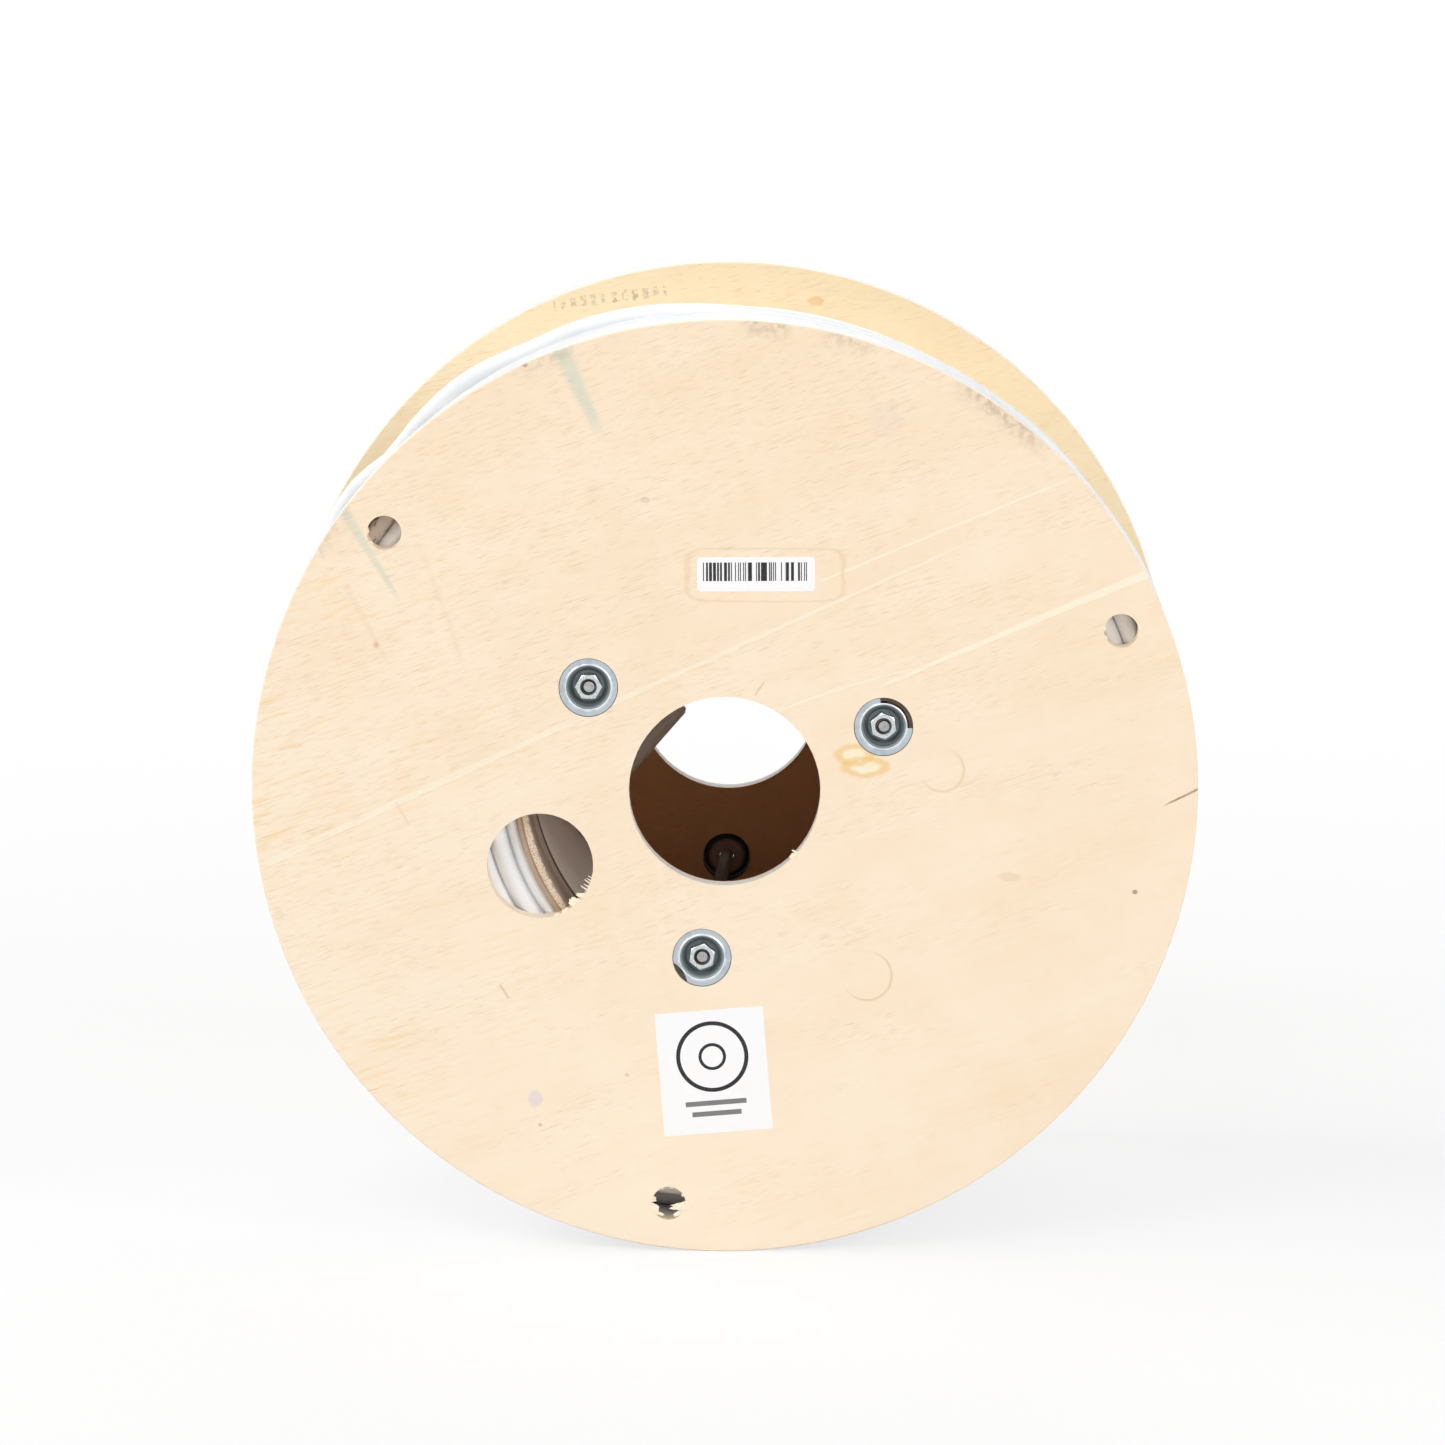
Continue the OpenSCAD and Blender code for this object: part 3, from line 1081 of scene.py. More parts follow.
@dataclass
class Flange:
    """One plywood flange: its finish and the torn chips at its holes."""

    side: Side
    finish: Plywood
    tears: tuple[Tear, ...] = ()
    torn: Colour = paint(255, 248, 228)
    shade: Colour = paint(240, 216, 176)

    def build(self) -> None:
        """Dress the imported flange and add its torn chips."""
        dress_node(f"flange_{self.side.name.lower()}", self.finish.material())
        for tear in self.tears:
            dice = random.Random(tear.name)
            bench = Bench.material(f"{tear.name}_wood")
            x, y, height = bench.place()
            grain = bench.noise((x * 1.5, y * 1.5, height * 1.5), 3)
            colour = bench.blend(self.torn, self.shade, grain.rise(0.45, 0.75))
            mesh = joined(self.chip(tear, chip, dice) for chip in tear.chips)
            make_piece(tear.name, mesh, bench.finish(colour, 0.8, grain, 0.0001), Slot.PLYWOOD)

    def chip(self, tear: Tear, chip: Chip, dice: random.Random) -> bmesh.types.BMesh:
        """Make one flat chip that is rooted in the hole's edge and ends in uneven points.

        Args:
            tear: The hole.
            chip: The chip's place and size.
            dice: Source of its chances.

        Returns:
            The chip, in place.
        """
        root = 1.5
        whole = chip.length + root
        mesh = bmesh.new()
        bmesh.ops.create_grid(mesh, x_segments=8, y_segments=4, size=0.5)
        for vert in mesh.verts:
            share = vert.co.x + 0.5
            taper = 1 - 0.55 * share**1.5
            ragged = dice.uniform(-0.25, 0.12) * chip.length if share > 0.9 else 0.0
            curl = 0.12 * chip.length * max(share - 0.4, 0.0) ** 2
            side = vert.co.y * chip.width * taper + dice.uniform(-0.05, 0.05) * chip.width
            vert.co = (share * whole + ragged - root, side, curl)
        thicken(mesh, -chip.thick)
        bmesh.ops.scale(mesh, vec=(MM, MM, MM), verts=mesh.verts)
        turn = math.radians(chip.angle)
        spot = Vector((
            (tear.centre[0] + tear.radius * math.cos(turn)) * MM,
            self.side.value * (REEL.outer_y - chip.depth * MM),
            REEL.flange_r + (tear.centre[1] + tear.radius * math.sin(turn)) * MM,
        ))
        lay_on_face(mesh, spot, chip.lean)
        return mesh


@dataclass
class Winding:
    """The cable on the barrel: its open layers as one long run, and the stacked turns at its ends.

    The stations of a run are (degrees, y, radius) places of the cable's middle, in order.
    """

    sheath: bpy.types.Material
    bore_r: float = 89.1 * MM
    first_r: float = 92.75 * MM
    layer_step: float = 8.25 * MM
    settled: float = 2.5 * MM
    pressed: float = 0.62
    pitch: float = 8.46 * MM
    first_y: float = -105.75 * MM
    last_turn: int = 25
    layers: int = 13
    under_turns: int = 18
    top_turns: int = 8
    sides: int = 16
    steps: int = 120
    sway: tuple[Station, ...] = ((0.37, 1.0, 0.06), (1.13, 2.2, 0.05), (2.31, 4.0, 0.04))
    crossing: tuple[Station, ...] = (
        (-60, -40.8, 191.75), (-20, -39.9, 193.5), (10, -39.3, 195.8), (24, -39.1, 195.8),
        (28, -39.0, 195.0), (32, -38.9, 194.2), (36, -38.8, 193.3), (46, -38.5, 193.3),
        (53, -38.2, 192.5), (67, -37.7, 192.05), (81, -37.2, 192.3), (88, -37.0, 193.0),
        (95, -25.5, 193.4), (98.5, -18.2, 193.6), (102, -8.9, 193.4), (106, -2.1, 193.3),
        (109.4, 1.9, 193.2), (113, 6.0, 192.8), (117, 11.8, 192.2), (121, 19.6, 193.0),
        (125, 30.1, 193.5), (129, 43.9, 192.8), (133.4, 57.0, 191.5), (137.8, 69.6, 190.2),
        (142, 79.7, 189.2), (146.4, 88.5, 192.6), (150.7, 97.0, 195.4), (156, 103.0, 195.9),
        (168, 105.6, 195.9), (185, 105.6, 192.0), (205, 105.6, 187.0), (238, 105.6, 183.5),
    )
    dipped: tuple[Station, ...] = (
        (100, 0.0, 0.0), (224, 0.0, 0.0), (250, 13.0, -0.6), (274, 13.0, -0.6), (302, 0.0, 0.0),
        (460, 0.0, 0.0),
    )

    def turn_y(self, turn: float) -> float:
        """Place of a turn's middle along the axis; turn 0 lies on the front flange."""
        return self.first_y + self.pitch * turn

    def layer_r(self, layer: float) -> float:
        """Radius of a layer's middle; layer 0 lies on the barrel."""
        return self.first_r + self.layer_step * layer

    def end_r(self, layer: int) -> float:
        """Radius of a layer's turn on the winding's end, where the low layers have settled."""
        if not layer:
            return self.bore_r + self.pressed * REEL.cable_d / 2
        return self.layer_r(layer) - self.settled * max(0.0, 1 - layer / 9)

    def build(self) -> None:
        """Build every piece of the winding."""
        self.add("winding_core", self.core(), 40.0)
        self.add("winding_front_turns", self.end_turns(0))
        self.add("winding_rear_turns", self.end_turns(self.last_turn))
        self.add("winding_dipped_turn", self.wind(self.dipped_run()))
        self.add("winding_under_turns", self.wind(self.under_run()))
        self.add("winding_top_turns", self.wind(self.top_run()))

    def add(self, name: str, mesh: bmesh.types.BMesh, smooth_angle: float = 60.0) -> None:
        """Add one piece of the winding, with its crease angle in degrees."""
        make_piece(name, mesh, self.sheath, Slot.CABLE, ["cable_winding"], smooth_angle)

    def dipped_run(self) -> list[Station]:
        """Stations of the sunk turn at the front flange."""
        radius = self.layer_r(self.layers - 2)
        return [(at, self.first_y + y * MM, radius + rise * MM) for at, y, rise in self.dipped]

    def under_run(self) -> list[Station]:
        """Lead the run from the rear flange forward, up the step and under the top layer.

        Returns:
            Its stations.
        """
        low, high = self.layer_r(self.layers - 3), self.layer_r(self.layers - 2)
        rear, step = self.turn_y(self.last_turn), self.turn_y(self.under_turns)
        start = 0.55 * FULL_TURN
        climb = start + (self.last_turn - self.under_turns - 1) * FULL_TURN
        onward = climb + 200
        end = self.top_turns + 0.2
        return [
            (0.0, rear, low),
            (start, rear, low),
            (climb, self.turn_y(self.under_turns + 1), low),
            (climb + 70, step, high),
            (onward, step, high),
            (onward + (self.under_turns - end) * FULL_TURN, self.turn_y(end), high),
        ]

    def top_run(self) -> list[Station]:
        """Lead the top layer, the run across to the rear flange and the cable's end.

        Returns:
            Its stations.
        """
        radius = self.layer_r(self.layers - 1)
        before = 60 - self.top_turns * FULL_TURN
        stations = [(before - 150, self.first_y, radius), (before, self.first_y, radius)]
        return stations + [(a, y * MM, r * MM) for a, y, r in self.crossing]

    def wind(self, stations: Sequence[Station]) -> bmesh.types.BMesh:
        """Sweep the cable's round section along stations.

        Args:
            stations: The run's stations.

        Returns:
            The closed run of cable.
        """
        first, last = stations[0][0], stations[-1][0]
        lengths = math.ceil((last - first) / FULL_TURN)
        places = [first + (last - first) * part / lengths for part in range(lengths + 1)]
        mesh = joined(self.stretch(stations, *ends) for ends in zip(places, places[1:]))
        bmesh.ops.remove_doubles(mesh, verts=mesh.verts, dist=0.01 * MM)
        ends = [edge for edge in mesh.edges if edge.is_boundary]
        bmesh.ops.holes_fill(mesh, edges=ends, sides=self.sides)
        caps = [face for face in mesh.faces if len(face.verts) == self.sides]
        bmesh.ops.inset_individual(mesh, faces=caps, thickness=0.9 * MM, depth=-0.3 * MM)
        return mesh

    def ring(
        self, radius: float, y: float, sweep: float, pressed: float = 1.0
    ) -> bmesh.types.BMesh:
        """Spin the cable's round section about the reel's axis.

        Args:
            radius: Radius of its middle.
            y: Its place along the axis.
            sweep: How far it is spun, in degrees.
            pressed: Its height against its width.

        Returns:
            The spun tube, closed on itself where it goes all the way round.
        """
        mesh = bmesh.new()
        middle = Matrix.Translation(REEL.on_disc(radius, 0.0, y))
        bmesh.ops.create_circle(
            mesh, cap_ends=False, segments=self.sides, radius=REEL.cable_d / 2,
            matrix=middle @ Matrix.Diagonal((pressed, 1.0, 1.0, 1.0)),
        )
        spin_round(mesh, sweep, self.steps)
        return mesh

    def stretch(self, stations: Sequence[Station], here: float, there: float) -> bmesh.types.BMesh:
        """Spin one stretch of a run and move each of its rings to its place, square to the run.

        Args:
            stations: The run's stations.
            here: Where the stretch starts, in degrees.
            there: Where it ends.

        Returns:
            The open stretch of cable.
        """
        spun_r = stations[0][2]
        sweep = min(there - here, FULL_TURN - 1)
        mesh = self.ring(spun_r, 0.0, sweep)
        mesh.verts.ensure_lookup_table()
        for step in range(self.steps + 1):
            angle = here + (there - here) * step / self.steps
            spun = math.radians(sweep * step / self.steps)
            y, radius, slope = self.station_at(stations, angle)
            outward = Vector((math.cos(spun), 0.0, math.sin(spun)))
            middle = Vector((0.0, 0.0, REEL.flange_r)) + outward * spun_r
            onward = Matrix.Rotation(spun - math.radians(angle), 3, "Y")
            square = onward @ Matrix.Rotation(-math.atan(slope), 3, outward)
            centre = REEL.on_disc(radius, angle, y)
            for vert in mesh.verts[step * self.sides:(step + 1) * self.sides]:
                vert.co = centre + square @ (vert.co - middle)
        return mesh

    def station_at(self, stations: Sequence[Station], angle: float) -> Station:
        """Place and slope of a run at an angle, smooth through its stations.

        Args:
            stations: The run's stations.
            angle: Where to read, in degrees.

        Returns:
            y, radius and the run's slope along the axis.
        """
        step = 0.5
        y, radius = self.read(stations, angle)
        ahead = self.read(stations, angle + step)[0]
        behind = self.read(stations, angle - step)[0]
        turns = math.radians(angle)
        for rate, shift, size in self.sway:
            y += size * math.sin(rate * turns + shift) * MM
            radius += size * math.cos(rate * turns + shift) * MM
        return y, radius, (ahead - behind) / (radius * math.radians(2 * step))

    @classmethod
    def read(cls, stations: Sequence[Station], angle: float) -> Pair:
        """Read y and radius between stations with monotone cubic steps.

        Args:
            stations: The run's stations.
            angle: Where to read, in degrees; beyond the ends the run stays as it is there.

        Returns:
            y and radius.
        """
        angle = min(max(angle, stations[0][0]), stations[-1][0])
        index = max(bisect_left(stations, angle, key=lambda station: station[0]), 1)
        here, there = stations[index - 1], stations[index]
        span = there[0] - here[0]
        share = (angle - here[0]) / span
        values = []
        for part in (1, 2):
            leave, arrive = (cls.slope(stations, at, part) * span for at in (index - 1, index))
            run = there[part] - here[part]
            square = 3 * run - 2 * leave - arrive
            cube = leave + arrive - 2 * run
            values.append(here[part] + leave * share + square * share**2 + cube * share**3)
        return values[0], values[1]

    @staticmethod
    def slope(stations: Sequence[Station], at: int, part: int) -> float:
        """Slope of a run at one of its stations, flat where it turns back.

        Args:
            stations: The run's stations.
            at: Which station.
            part: 1 for y, 2 for radius.

        Returns:
            The change to a degree.
        """
        mid = stations[at]
        beside = [stations[k] for k in (at - 1, at + 1) if 0 <= k < len(stations)]
        slopes = [(other[part] - mid[part]) / (other[0] - mid[0]) for other in beside]
        if len(slopes) == 1:
            return slopes[0]
        left, right = slopes
        return 2 * left * right / (left + right) if left * right > 0 else 0.0

    def core(self) -> bmesh.types.BMesh:
        """Turn the hidden core that closes the view between the turns.

        Returns:
            The core.
        """
        dip = 1.6 * MM
        front, rear, back = self.first_y, self.turn_y(self.last_turn), self.turn_y(2)
        top_end, under_end = (self.turn_y(n - 0.1) for n in (self.top_turns, self.under_turns))
        top, under, low = (self.layer_r(self.layers - below) - dip for below in (1, 2, 3))
        shelf = self.layer_r(self.layers - 2.5)
        corners = (
            (self.bore_r, front), (shelf, front), (shelf, back), (top, back), (top, top_end),
            (under, top_end), (under, under_end), (low, under_end), (low, rear),
            (self.bore_r, rear),
        )
        mesh = line_through((REEL.on_disc(radius, 0.0, y) for radius, y in corners), closed=True)
        spin_round(mesh, FULL_TURN, self.steps)
        return mesh

    def end_turns(self, turn: int) -> bmesh.types.BMesh:
        """Turn the end turn of every layer where it lies on a flange.

        Args:
            turn: The first or the last turn.

        Returns:
            The stacked turns.
        """
        y = self.turn_y(turn)
        return joined(
            self.ring(self.end_r(layer), y, FULL_TURN, 1.0 if layer else self.pressed)
            for layer in range(self.layers - 2)
        )


@dataclass
class CableTail:
    """The cable's inner end, standing free inside the barrel; places in millimetres."""

    sheath: bpy.types.Material
    start: Place = (-71.24, 60.0, 149.37)
    route: tuple[Pair, ...] = (
        (0, 0), (8.3, 8.7), (18.9, 20.8), (29.2, 33), (39.6, 45.1), (49.1, 56), (50.4, 57.5),
    )
    tip_share: float = 0.7

    def build(self) -> None:
        points = [
            Vector((self.start[0] + side, self.start[1], self.start[2] + rise)) * MM
            for side, rise in self.route
        ]
        data = bpy.data.curves.new("cable_tail_end", "CURVE")
        data.dimensions = "3D"
        data.bevel_depth = REEL.cable_d / 2
        data.bevel_resolution = 6
        data.use_fill_caps = True
        spline = data.splines.new("POLY")
        spline.points.add(len(points) - 1)
        for point, place in zip(spline.points, points):
            point.co = (*place, 1.0)
        spline.points[-1].radius = self.tip_share
        data.materials.append(self.sheath)
        piece = bpy.data.objects.new("cable_tail_end", data)
        settle(piece, Slot.CABLE, ["cable_tail"])


@dataclass
class Barrel:
    """The cardboard barrel and the torn paper on its end in the front lead-out hole."""

    end_y: float = -112.5
    wall_r: Pair = (84.5, 86.6)
    torn_from: float = 188.0
    torn_to: float = 217.5
    reach: float = 1.3
    steps: int = 150

    def build(self) -> None:
        """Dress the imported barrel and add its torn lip."""
        dress_node("barrel", Cardboard().material())
        board = Cardboard().material(torn=True)
        make_piece("torn_lip", self.lip(), board, Slot.CARDBOARD, smooth_angle=70)

    def lip(self) -> bmesh.types.BMesh:
        """Spin a thin strip over the inner edge of the barrel's end and tear its rim.

        Returns:
            The torn strip, in place.
        """
        inner, outer = self.wall_r
        profile = (
            (outer, -0.1, 0.0), (outer - 0.5, 0.3, 0.1), (inner + 0.3, 0.35, 0.75),
            (inner, 0.2, 1.0), (inner, -1.6, 0.25),
        )
        mesh = line_through(
            REEL.on_disc(radius * MM, self.torn_from, (self.end_y - out) * MM)
            for radius, out, _ in profile
        )
        spin_round(mesh, self.torn_to - self.torn_from, self.steps)
        mesh.verts.ensure_lookup_table()
        dice = random.Random("torn lip")
        for step in range(self.steps + 1):
            away = 2 * step / self.steps - 1
            notch = noise.noise(Vector((step * 0.11, 0.0, 0.0))) + dice.uniform(-0.2, 0.2)
            torn = self.reach * (1 - away * away) * (0.2 + notch)
            first = step * len(profile)
            for vert, (*_, share) in zip(mesh.verts[first:first + len(profile)], profile):
                inward = (Vector((0.0, vert.co.y, REEL.flange_r)) - vert.co).normalized()
                rough = Vector(dice.uniform(-0.22, 0.22) for _ in range(3)) * MM
                vert.co += inward * torn * share * MM + rough * (0.3 + share)
        bmesh.ops.solidify(mesh, geom=list(mesh.faces), thickness=0.25 * MM)
        return mesh


@dataclass
class TieHardware:
    """Tie rods, cup washers and nuts of the three bolt places."""

    thread_r: float = 3.0 * MM
    root_r: float = 2.6 * MM
    pitch: float = 1.0 * MM
    end_y: float = 118.0 * MM
    seat_y: float = 114.6 * MM
    chamfer: float = 0.5 * MM
    lip_r: float = 9.75 * MM
    lip_half: float = 0.5 * MM
    lip_y: float = 118.2 * MM
    lip_sides: int = 10
    lip_steps: int = 48
    sides: int = 20

    def build(self) -> None:
        """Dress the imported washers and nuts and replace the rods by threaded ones."""
        for number in (1, 2, 3):
            for side in Side:
                place = f"{side.name.lower()}_{number}"
                centre = REEL.rod_end(number, side, self.seat_y)
                zinc = Zinc(f"zinc_cup_{place}", centre).material()
                dress_node(f"cup_washer_{place}", zinc)
                self.build_lip(f"cup_lip_{place}", centre, side, zinc)
                dress_node(f"nut_{place}", Steel(f"bright_nut_{place}", centre).material())
            self.build_rod(number)

    def build_lip(self, name: str, centre: Vector, side: Side, zinc: bpy.types.Material) -> None:
        """Spin the rounded lip round one cup's mouth.

        Args:
            name: The piece's name.
            centre: Middle of the cup's seat.
            side: Which flange it is in.
            zinc: The cup's finish.
        """
        mesh = bmesh.new()
        middle = Vector((centre.x, side.value * self.lip_y, centre.z))
        bmesh.ops.create_circle(
            mesh, cap_ends=False, segments=self.lip_sides, radius=self.lip_half,
            matrix=Matrix.Translation(middle + Vector((self.lip_r, 0.0, 0.0))),
        )
        bmesh.ops.spin(
            mesh, geom=[*mesh.verts, *mesh.edges], cent=middle, axis=(0.0, 1.0, 0.0),
            angle=2 * math.pi, steps=self.lip_steps, use_merge=True,
        )
        make_piece(name, mesh, zinc, Slot.ZINC)

    def build_rod(self, number: int) -> None:
        """Build one threaded rod from flange to flange.

        Args:
            number: Which rod, 1 to 3.
        """
        front, rear = (REEL.rod_end(number, side, self.seat_y) for side in Side)
        lean = (rear - front).normalized()
        grow = (self.end_y - self.seat_y) / lean.y
        front, rear = front - lean * grow, rear + lean * grow
        mesh = self.thread((rear - front).length)
        aim = Matrix.Translation(front) @ lean.to_track_quat("Z", "Y").to_matrix().to_4x4()
        bmesh.ops.transform(mesh, matrix=aim, verts=mesh.verts)
        finish = ThreadSteel(f"rolled_rod_{number}", front, rear).material()
        make_piece(f"threaded_rod_{number}", mesh, finish, Slot.ZINC, [f"tie_rod_{number}"], 30)

    def thread(self, length: float) -> bmesh.types.BMesh:
        """Turn a threaded rod along z, sawn flat and chamfered at both ends.

        Args:
            length: Its length, chamfers included.

        Returns:
            The closed rod, from z = 0 to its length.
        """
        crest, root = self.thread_r, self.root_r
        profile = ((crest, 0.0), (root, 0.4), (root, 0.6), (crest, 1.0))
        mesh = line_through((radius, 0.0, share * self.pitch) for radius, share in profile)
        bmesh.ops.spin(
            mesh, geom=[*mesh.verts, *mesh.edges], axis=(0.0, 0.0, 1.0), angle=2 * math.pi,
            steps=self.sides, dvec=(0.0, 0.0, self.pitch / self.sides), use_merge=False,
        )
        turns = 1
        while turns * self.pitch < length + 2 * self.pitch:
            copies = bmesh.ops.duplicate(mesh, geom=[*mesh.verts, *mesh.edges, *mesh.faces])["geom"]
            moved = [item for item in copies if isinstance(item, bmesh.types.BMVert)]
            bmesh.ops.translate(mesh, vec=(0.0, 0.0, turns * self.pitch), verts=moved)
            turns *= 2
        bmesh.ops.remove_doubles(mesh, verts=mesh.verts, dist=0.01 * MM)
        bmesh.ops.translate(mesh, vec=(0.0, 0.0, -self.pitch), verts=mesh.verts)
        for level, sign in ((self.chamfer, -1.0), (length - self.chamfer, 1.0)):
            cut = bmesh.ops.bisect_plane(
                mesh, geom=[*mesh.verts, *mesh.edges, *mesh.faces], plane_co=(0.0, 0.0, level),
                plane_no=(0.0, 0.0, sign), clear_outer=True,
            )["geom_cut"]
            rim = [item for item in cut if isinstance(item, bmesh.types.BMEdge)]
            cap = bmesh.ops.edgeloop_fill(mesh, edges=rim)["faces"]
            bmesh.ops.recalc_face_normals(mesh, faces=mesh.faces)
            bmesh.ops.inset_individual(mesh, faces=cap, thickness=self.chamfer, depth=self.chamfer)
        return mesh


@dataclass
class Label:
    """A paper label on the front flange; place and size in millimetres."""

    name: str
    centre: Pair
    size: Pair
    degrees: float
    corner: float
    draw: Callable[[Bench, Wire, Wire], Wire]
    thick: float = 0.12

    def build(self) -> None:
        """Cut the label, round its corners and lay it on the flange."""
        mesh = bmesh.new()
        bmesh.ops.create_grid(mesh, x_segments=1, y_segments=1, size=0.5)
        bmesh.ops.scale(mesh, vec=(self.size[0] * MM, self.size[1] * MM, 1.0), verts=mesh.verts)
        bmesh.ops.bevel(
            mesh, geom=list(mesh.verts), offset=self.corner * MM, offset_type="OFFSET", segments=5,
            profile=0.5, affect="VERTICES", material=-1,
        )
        thicken(mesh, self.thick * MM)
        spot = Vector((self.centre[0] * MM, -REEL.outer_y, REEL.flange_r + self.centre[1] * MM))
        lay_on_face(mesh, spot, self.degrees)
        paper = Paper(f"{self.name}_paper", self.centre, self.degrees, self.draw)
        make_piece(self.name, mesh, paper.material())


@dataclass(frozen=True)
class SoftBox:
    """A square lamp that faces the reel: its place and side in metres, its power in watts."""

    name: str
    place: Place
    size: float
    power: float


@dataclass
class Studio:
    """Camera, soft light and the plain pale floor."""

    eye: Place = (0.0231, -3.0027, 0.7296)
    target: Place = (-0.00186702, 0.0, 0.20882148)
    lens: float = 172.9
    sensor: float = 36.0
    ambient: float = 0.23
    lamps: tuple[SoftBox, ...] = (
        SoftBox("key_box", (-1.38, -4.24, 4.21), 2.2, 53.0),
        SoftBox("fill_box", (-4.0, -3.3, 3.1), 2.2, 79.0),
        SoftBox("side_box", (4.43, -3.22, 2.64), 1.8, 82.0),
        SoftBox("near_box", (2.65, -4.98, 2.25), 1.8, 56.0),
        SoftBox("top_box", (-3.2, 0.3, 2.3), 2.2, 62.0),
        SoftBox("right_box", (3.0, 0.5, 2.4), 2.0, 18.0),
        SoftBox("back_box", (0.4, 3.4, 2.0), 2.0, 30.0),
    )
    floor_half: float = 14.0
    floor_glow: float = 0.72
    floor_fade: Pair = (0.35, 1.4)

    def build(self) -> None:
        """Set up the camera, the light and the floor."""
        self.place_camera()
        self.light()
        self.lay_floor()

    def place_camera(self) -> None:
        """Stand the camera where the photograph was taken from."""
        data = bpy.data.cameras.new("photo_camera")
        data.lens, data.sensor_width, data.sensor_fit = self.lens, self.sensor, "HORIZONTAL"
        data.clip_end = 60.0
        bpy.context.scene.camera = self.stand("photo_camera", data, self.eye, self.target)

    @staticmethod
    def stand(
        name: str, data: bpy.types.Camera | bpy.types.Light, place: Place, target: Place
    ) -> bpy.types.Object:
        """Stand a camera or a lamp in its place and aim it.

        Args:
            name: Its name.
            data: The camera or lamp.
            place: Where it stands.
            target: What it is aimed at.

        Returns:
            The new object.
        """
        item = bpy.data.objects.new(name, data)
        item.location = place
        aim = Vector(target) - Vector(place)
        item.rotation_euler = aim.to_track_quat("-Z", "Y").to_euler()
        bpy.context.scene.collection.objects.link(item)
        return item

    def light(self) -> None:
        """Light an even white room and hang its soft boxes."""
        world = bpy.data.worlds.new("white_room")
        bpy.context.scene.world = world
        bench = Bench(world)
        dim, white = (
            bench.node("ShaderNodeBackground", None, {"Color": WHITE, "Strength": strength})
            for strength in (self.ambient, 1.0)
        )
        mixed = bench.node("ShaderNodeMixShader", None, {0: bench.seen(), 1: dim, 2: white})
        bench.close("ShaderNodeOutputWorld", mixed)
        for box in self.lamps:
            data = bpy.data.lights.new(box.name, "AREA")
            data.size, data.energy = box.size, box.power
            self.stand(box.name, data, box.place, (0.0, 0.0, REEL.flange_r))
            LOG.info("hung %s", box.name)

    def lay_floor(self) -> None:
        """Lay the pale floor under the rims; it fades to white away from the reel."""
        mesh = bmesh.new()
        bmesh.ops.create_grid(mesh, x_segments=1, y_segments=1, size=self.floor_half)
        data = bpy.data.meshes.new("studio_floor")
        mesh.to_mesh(data)
        mesh.free()
        bench = Bench.material("floor_paint")
        x, y, _ = bench.place()
        away = x.span(y) / TO_MM
        seen = bench.seen()
        colour = bench.blend((0.8, 0.8, 0.8, 1.0), (0.97, 0.97, 0.97, 1.0), seen)
        matt = bench.node("ShaderNodeBsdfDiffuse", None, {"Color": colour})
        glow = bench.node("ShaderNodeEmission", None, {"Color": WHITE, "Strength": 1.0})
        far = away.rise(*self.floor_fade)
        share = seen * (far * (1 - self.floor_glow) + self.floor_glow)
        mixed = bench.node("ShaderNodeMixShader", None, {0: share, 1: matt, 2: glow})
        data.materials.append(bench.close("ShaderNodeOutputMaterial", mixed))
        floor = bpy.data.objects.new("studio_floor", data)
        bpy.context.scene.collection.objects.link(floor)


GREEN = paint(204, 216, 198)
BROWN = paint(236, 204, 160)
DIRT = paint(140, 112, 98)
GLUE_YELLOW = paint(245, 200, 118)
GLUE_PALE = paint(254, 243, 212)

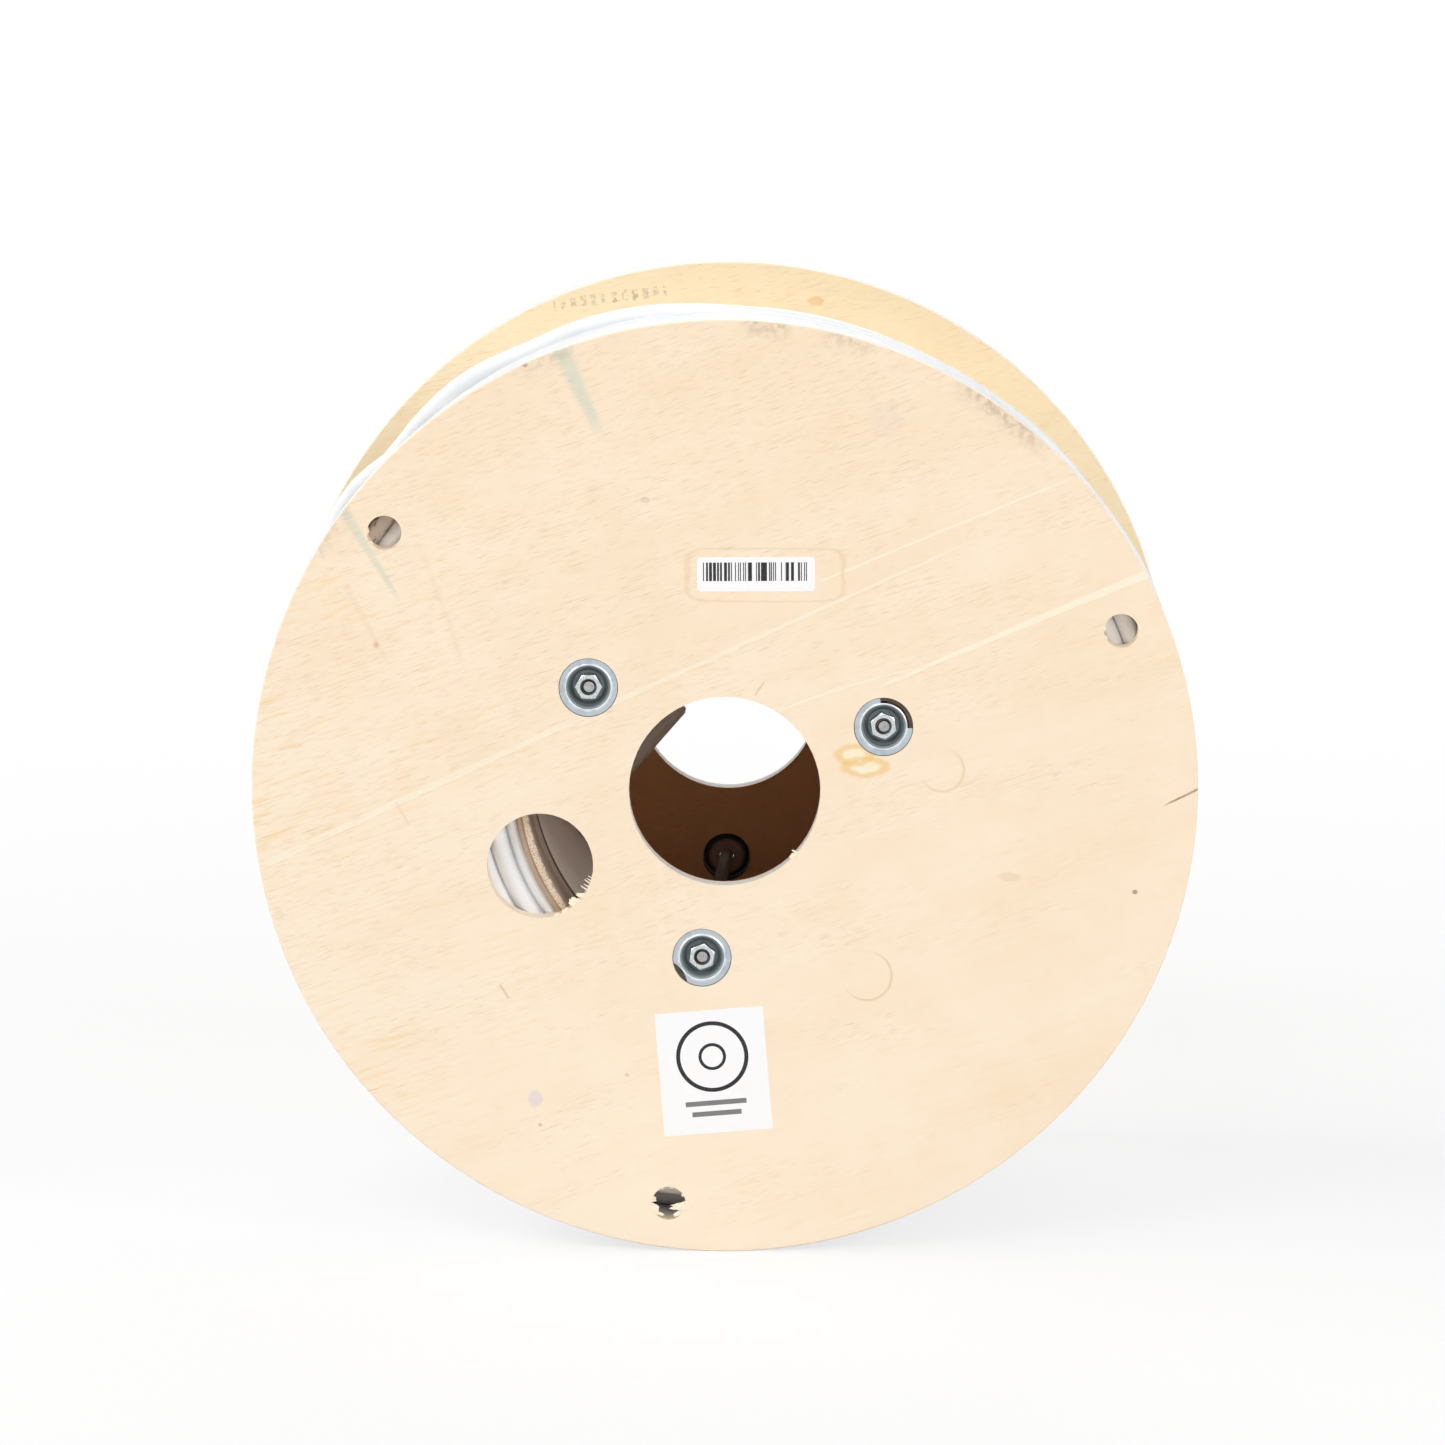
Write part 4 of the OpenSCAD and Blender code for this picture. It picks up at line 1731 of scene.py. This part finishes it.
FRONT_PLY = Plywood(
    name="front_plywood",
    side=Side.FRONT,
    grain_degrees=19.0,
    seed=2.0,
    marks=(
        Splice((-196.0, -32.5), (104.0, 106.6), 1.6, 0.5, 1.1, 0.6),
        Splice((40.0, 89.4), (146.0, 133.4), 0.5, 0.5, 0.4, 0.75),
        Splice((22.0, 34.2), (82.0, 53.0), 0.5, 0.35, 1.2, 0.6),
        Splice((66.0, 44.9), (186.0, 96.4), 0.7, 1.8, 0.6, 0.8),
        Streak((-159.6, 87.9), (-138.9, 49.6), 1.6, 0.9, BROWN, 0.22),
        Streak((-127.1, 102.0), (-107.3, 47.5), 1.4, 1.0, BROWN, 0.16),
        Streak((-139.0, -5.0), (-133.0, -15.5), 0.7, 0.4, BROWN, 0.4),
        Streak((-71.0, 193.0), (-51.5, 150.5), 4.8, 2.2, GREEN, 0.62),
        Streak((-161.5, 122.0), (-136.0, 80.0), 2.6, 0.8, GREEN, 0.55),
        Streak((-170.8, 104.9), (-168.3, 98.5), 0.9, 0.5, GREEN, 0.45),
        Streak((12.8, 41.2), (17.1, 47.4), 0.45, 0.3, paint(206, 166, 116), 0.5),
        Streak((-95.4, -83.8), (-91.1, -90.3), 0.5, 0.35, paint(206, 170, 124), 0.55),
        Streak((200.0, 1.2), (185.0, -6.2), 0.55, 0.25, paint(140, 96, 56), 0.85),
        RimDirt(54.0, 8.0, 0.5),
        RimDirt(85.0, 3.6, 0.45),
        RimDirt(75.0, 4.0, 0.3),
        RimDirt(112.0, 5.0, 0.25),
        RimDirt(146.0, 4.0, 0.2),
        Blot((-83.5, 181.0), (1.3, 1.0), DIRT, 0.5),
        Blot((67.1, 158.0), (8.0, 8.0), paint(232, 212, 200), 0.22, ragged=1.0),
        Blot((-33.4, 124.1), (2.0, 1.5), paint(222, 196, 176), 0.5),
        Blot((-146.8, 62.4), (1.2, 1.4), paint(206, 164, 120), 0.5),
        Blot((173.7, -43.1), (1.2, 1.0), DIRT, 0.7),
        Blot((120.8, -36.7), (5.0, 2.0), BROWN, 0.4),
        Blot((-41.5, -122.8), (1.1, 0.8), BROWN, 0.8),
        Blot((-78.6, -144.7), (0.9, 0.8), paint(200, 150, 140), 0.6),
        Blot((-80.7, -133.4), (3.2, 3.8), paint(224, 212, 220), 0.6),
        Blot((91.8, 9.2), (10.0, 10.0), BROWN, 0.5, ring=1.0, line=0.1, ragged=0.1, arc=-40.0),
        Blot(
            (60.4, -79.6), (11.4, 11.4), paint(226, 196, 156), 0.6,
            ring=1.0, line=0.07, ragged=0.06, arc=-30.0,
        ),
        Blot((17.0, 92.4), (35.6, 12.2), BROWN, 0.4, ring=1.0, line=0.05, ragged=0.1, power=7.0),
        Blot((55.0, 15.6), (6.6, 3.6), GLUE_PALE, 0.8, ragged=0.25),
        Blot((59.3, 10.5), (8.2, 3.4), GLUE_PALE, 0.8, ragged=0.25),
        Blot((55.0, 15.6), (7.2, 4.1), GLUE_YELLOW, 0.6, ring=1.0, line=0.42, ragged=0.55),
        Blot((59.3, 10.5), (8.8, 3.9), GLUE_YELLOW, 0.6, ring=1.0, line=0.42, ragged=0.55),
    ),
)

REAR_PLY = Plywood(
    name="rear_plywood",
    side=Side.REAR,
    grain_degrees=12.0,
    seed=40.0,
    pale=paint(255, 237, 203),
    warm=paint(253, 226, 181),
    marks=(
        Blot((39.2, 182.5), (3.6, 2.6), paint(240, 190, 124), 0.55, ragged=1.1),
        InkRow((-53.5, 183.8), 52.0, 5.6, 8.0, 4.7, paint(116, 107, 102), 0.52),
    ),
)

FRONT_TEARS = (
    Tear(
        "lead_out_chips",
        (-78.1, -32.2),
        22.5,
        (
            Chip(-47.0, 5.6, 3.6, 150.0, 0.3, 0.8),
            Chip(-36.0, 2.6, 3.0, 165.0, 0.6),
            Chip(-28.0, 0.7, 3.4, 145.0, 0.5, 0.4),
            Chip(-24.0, 0.6, 2.6, 150.0, 0.3, 0.4),
            Chip(-20.5, 0.7, 3.0, 140.0, 0.8, 0.4),
            Chip(-17.0, 0.5, 2.2, 150.0, 0.4, 0.4),
            Chip(-13.5, 0.5, 1.8, 155.0, 0.5, 0.4),
            Chip(-61.0, 5.0, 1.2, 120.0, 0.6, 0.5),
            Chip(-72.0, 4.0, 0.8, 110.0, 0.5, 0.5),
        ),
    ),
    Tear(
        "arbor_chips",
        (0.0, 0.0),
        40.5,
        (Chip(-44.0, 4.0, 1.6, 140.0), Chip(-41.0, 1.2, 2.2, 150.0, 0.7)),
    ),
    Tear(
        "drive_chips",
        (-23.87, -178.91),
        7.25,
        (
            Chip(-10.0, 4.0, 6.4, 185.0, 0.6, 0.6),
            Chip(-36.0, 2.8, 4.2, 195.0, 0.9),
            Chip(196.0, 4.2, 3.4, -10.0, 0.5),
            Chip(166.0, 3.4, 1.8, 0.0, 0.5, 0.5),
            Chip(212.0, 1.8, 4.4, -20.0, 0.8, 0.4),
            Chip(30.0, 2.0, 1.0, 210.0, 0.5, 0.4),
            Chip(80.0, 1.6, 0.9, 262.0, 0.5, 0.4),
            Chip(112.0, 1.4, 0.8, 285.0, 0.5, 0.4),
        ),
    ),
    Tear(
        "drive_chips_right",
        (166.88, 68.78),
        7.25,
        (Chip(170.0, 3.6, 0.9, -10.0, 0.5, 0.4), Chip(205.0, 2.6, 0.8, 25.0, 0.6, 0.4)),
    ),
    Tear(
        "drive_chips_left",
        (-143.01, 110.13),
        7.25,
        (Chip(175.0, 4.0, 0.9, -5.0, 0.5, 0.4), Chip(220.0, 2.6, 0.8, 40.0, 0.6, 0.4)),
    ),
)


def main() -> None:
    """Build and dress the reel, piece by piece, and set up its studio."""
    logging.basicConfig(level=logging.INFO, format="%(name)s: %(message)s")
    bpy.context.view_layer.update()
    bpy.context.scene.view_settings.view_transform = "Standard"
    Studio().build()
    sheath = Sheath("white_sheath").material()
    inner = Sheath("inner_end_sheath", white=paint(255, 253, 250), grey=paint(216, 200, 184))
    CableTail(inner.material()).build()
    Winding(sheath).build()
    Flange(Side.FRONT, FRONT_PLY, FRONT_TEARS).build()
    Flange(Side.REAR, REAR_PLY).build()
    Barrel().build()
    TieHardware().build()
    Label("bar_label", (13.2, 92.7), (49.6, 14.6), 0.3, 1.6, draw_bars).build()
    Label("sign_label", (-4.7, -121.2), (46.2, 53.5), 4.7, 0.3, draw_reel_sign).build()


if __name__ == "__main__":
    main()
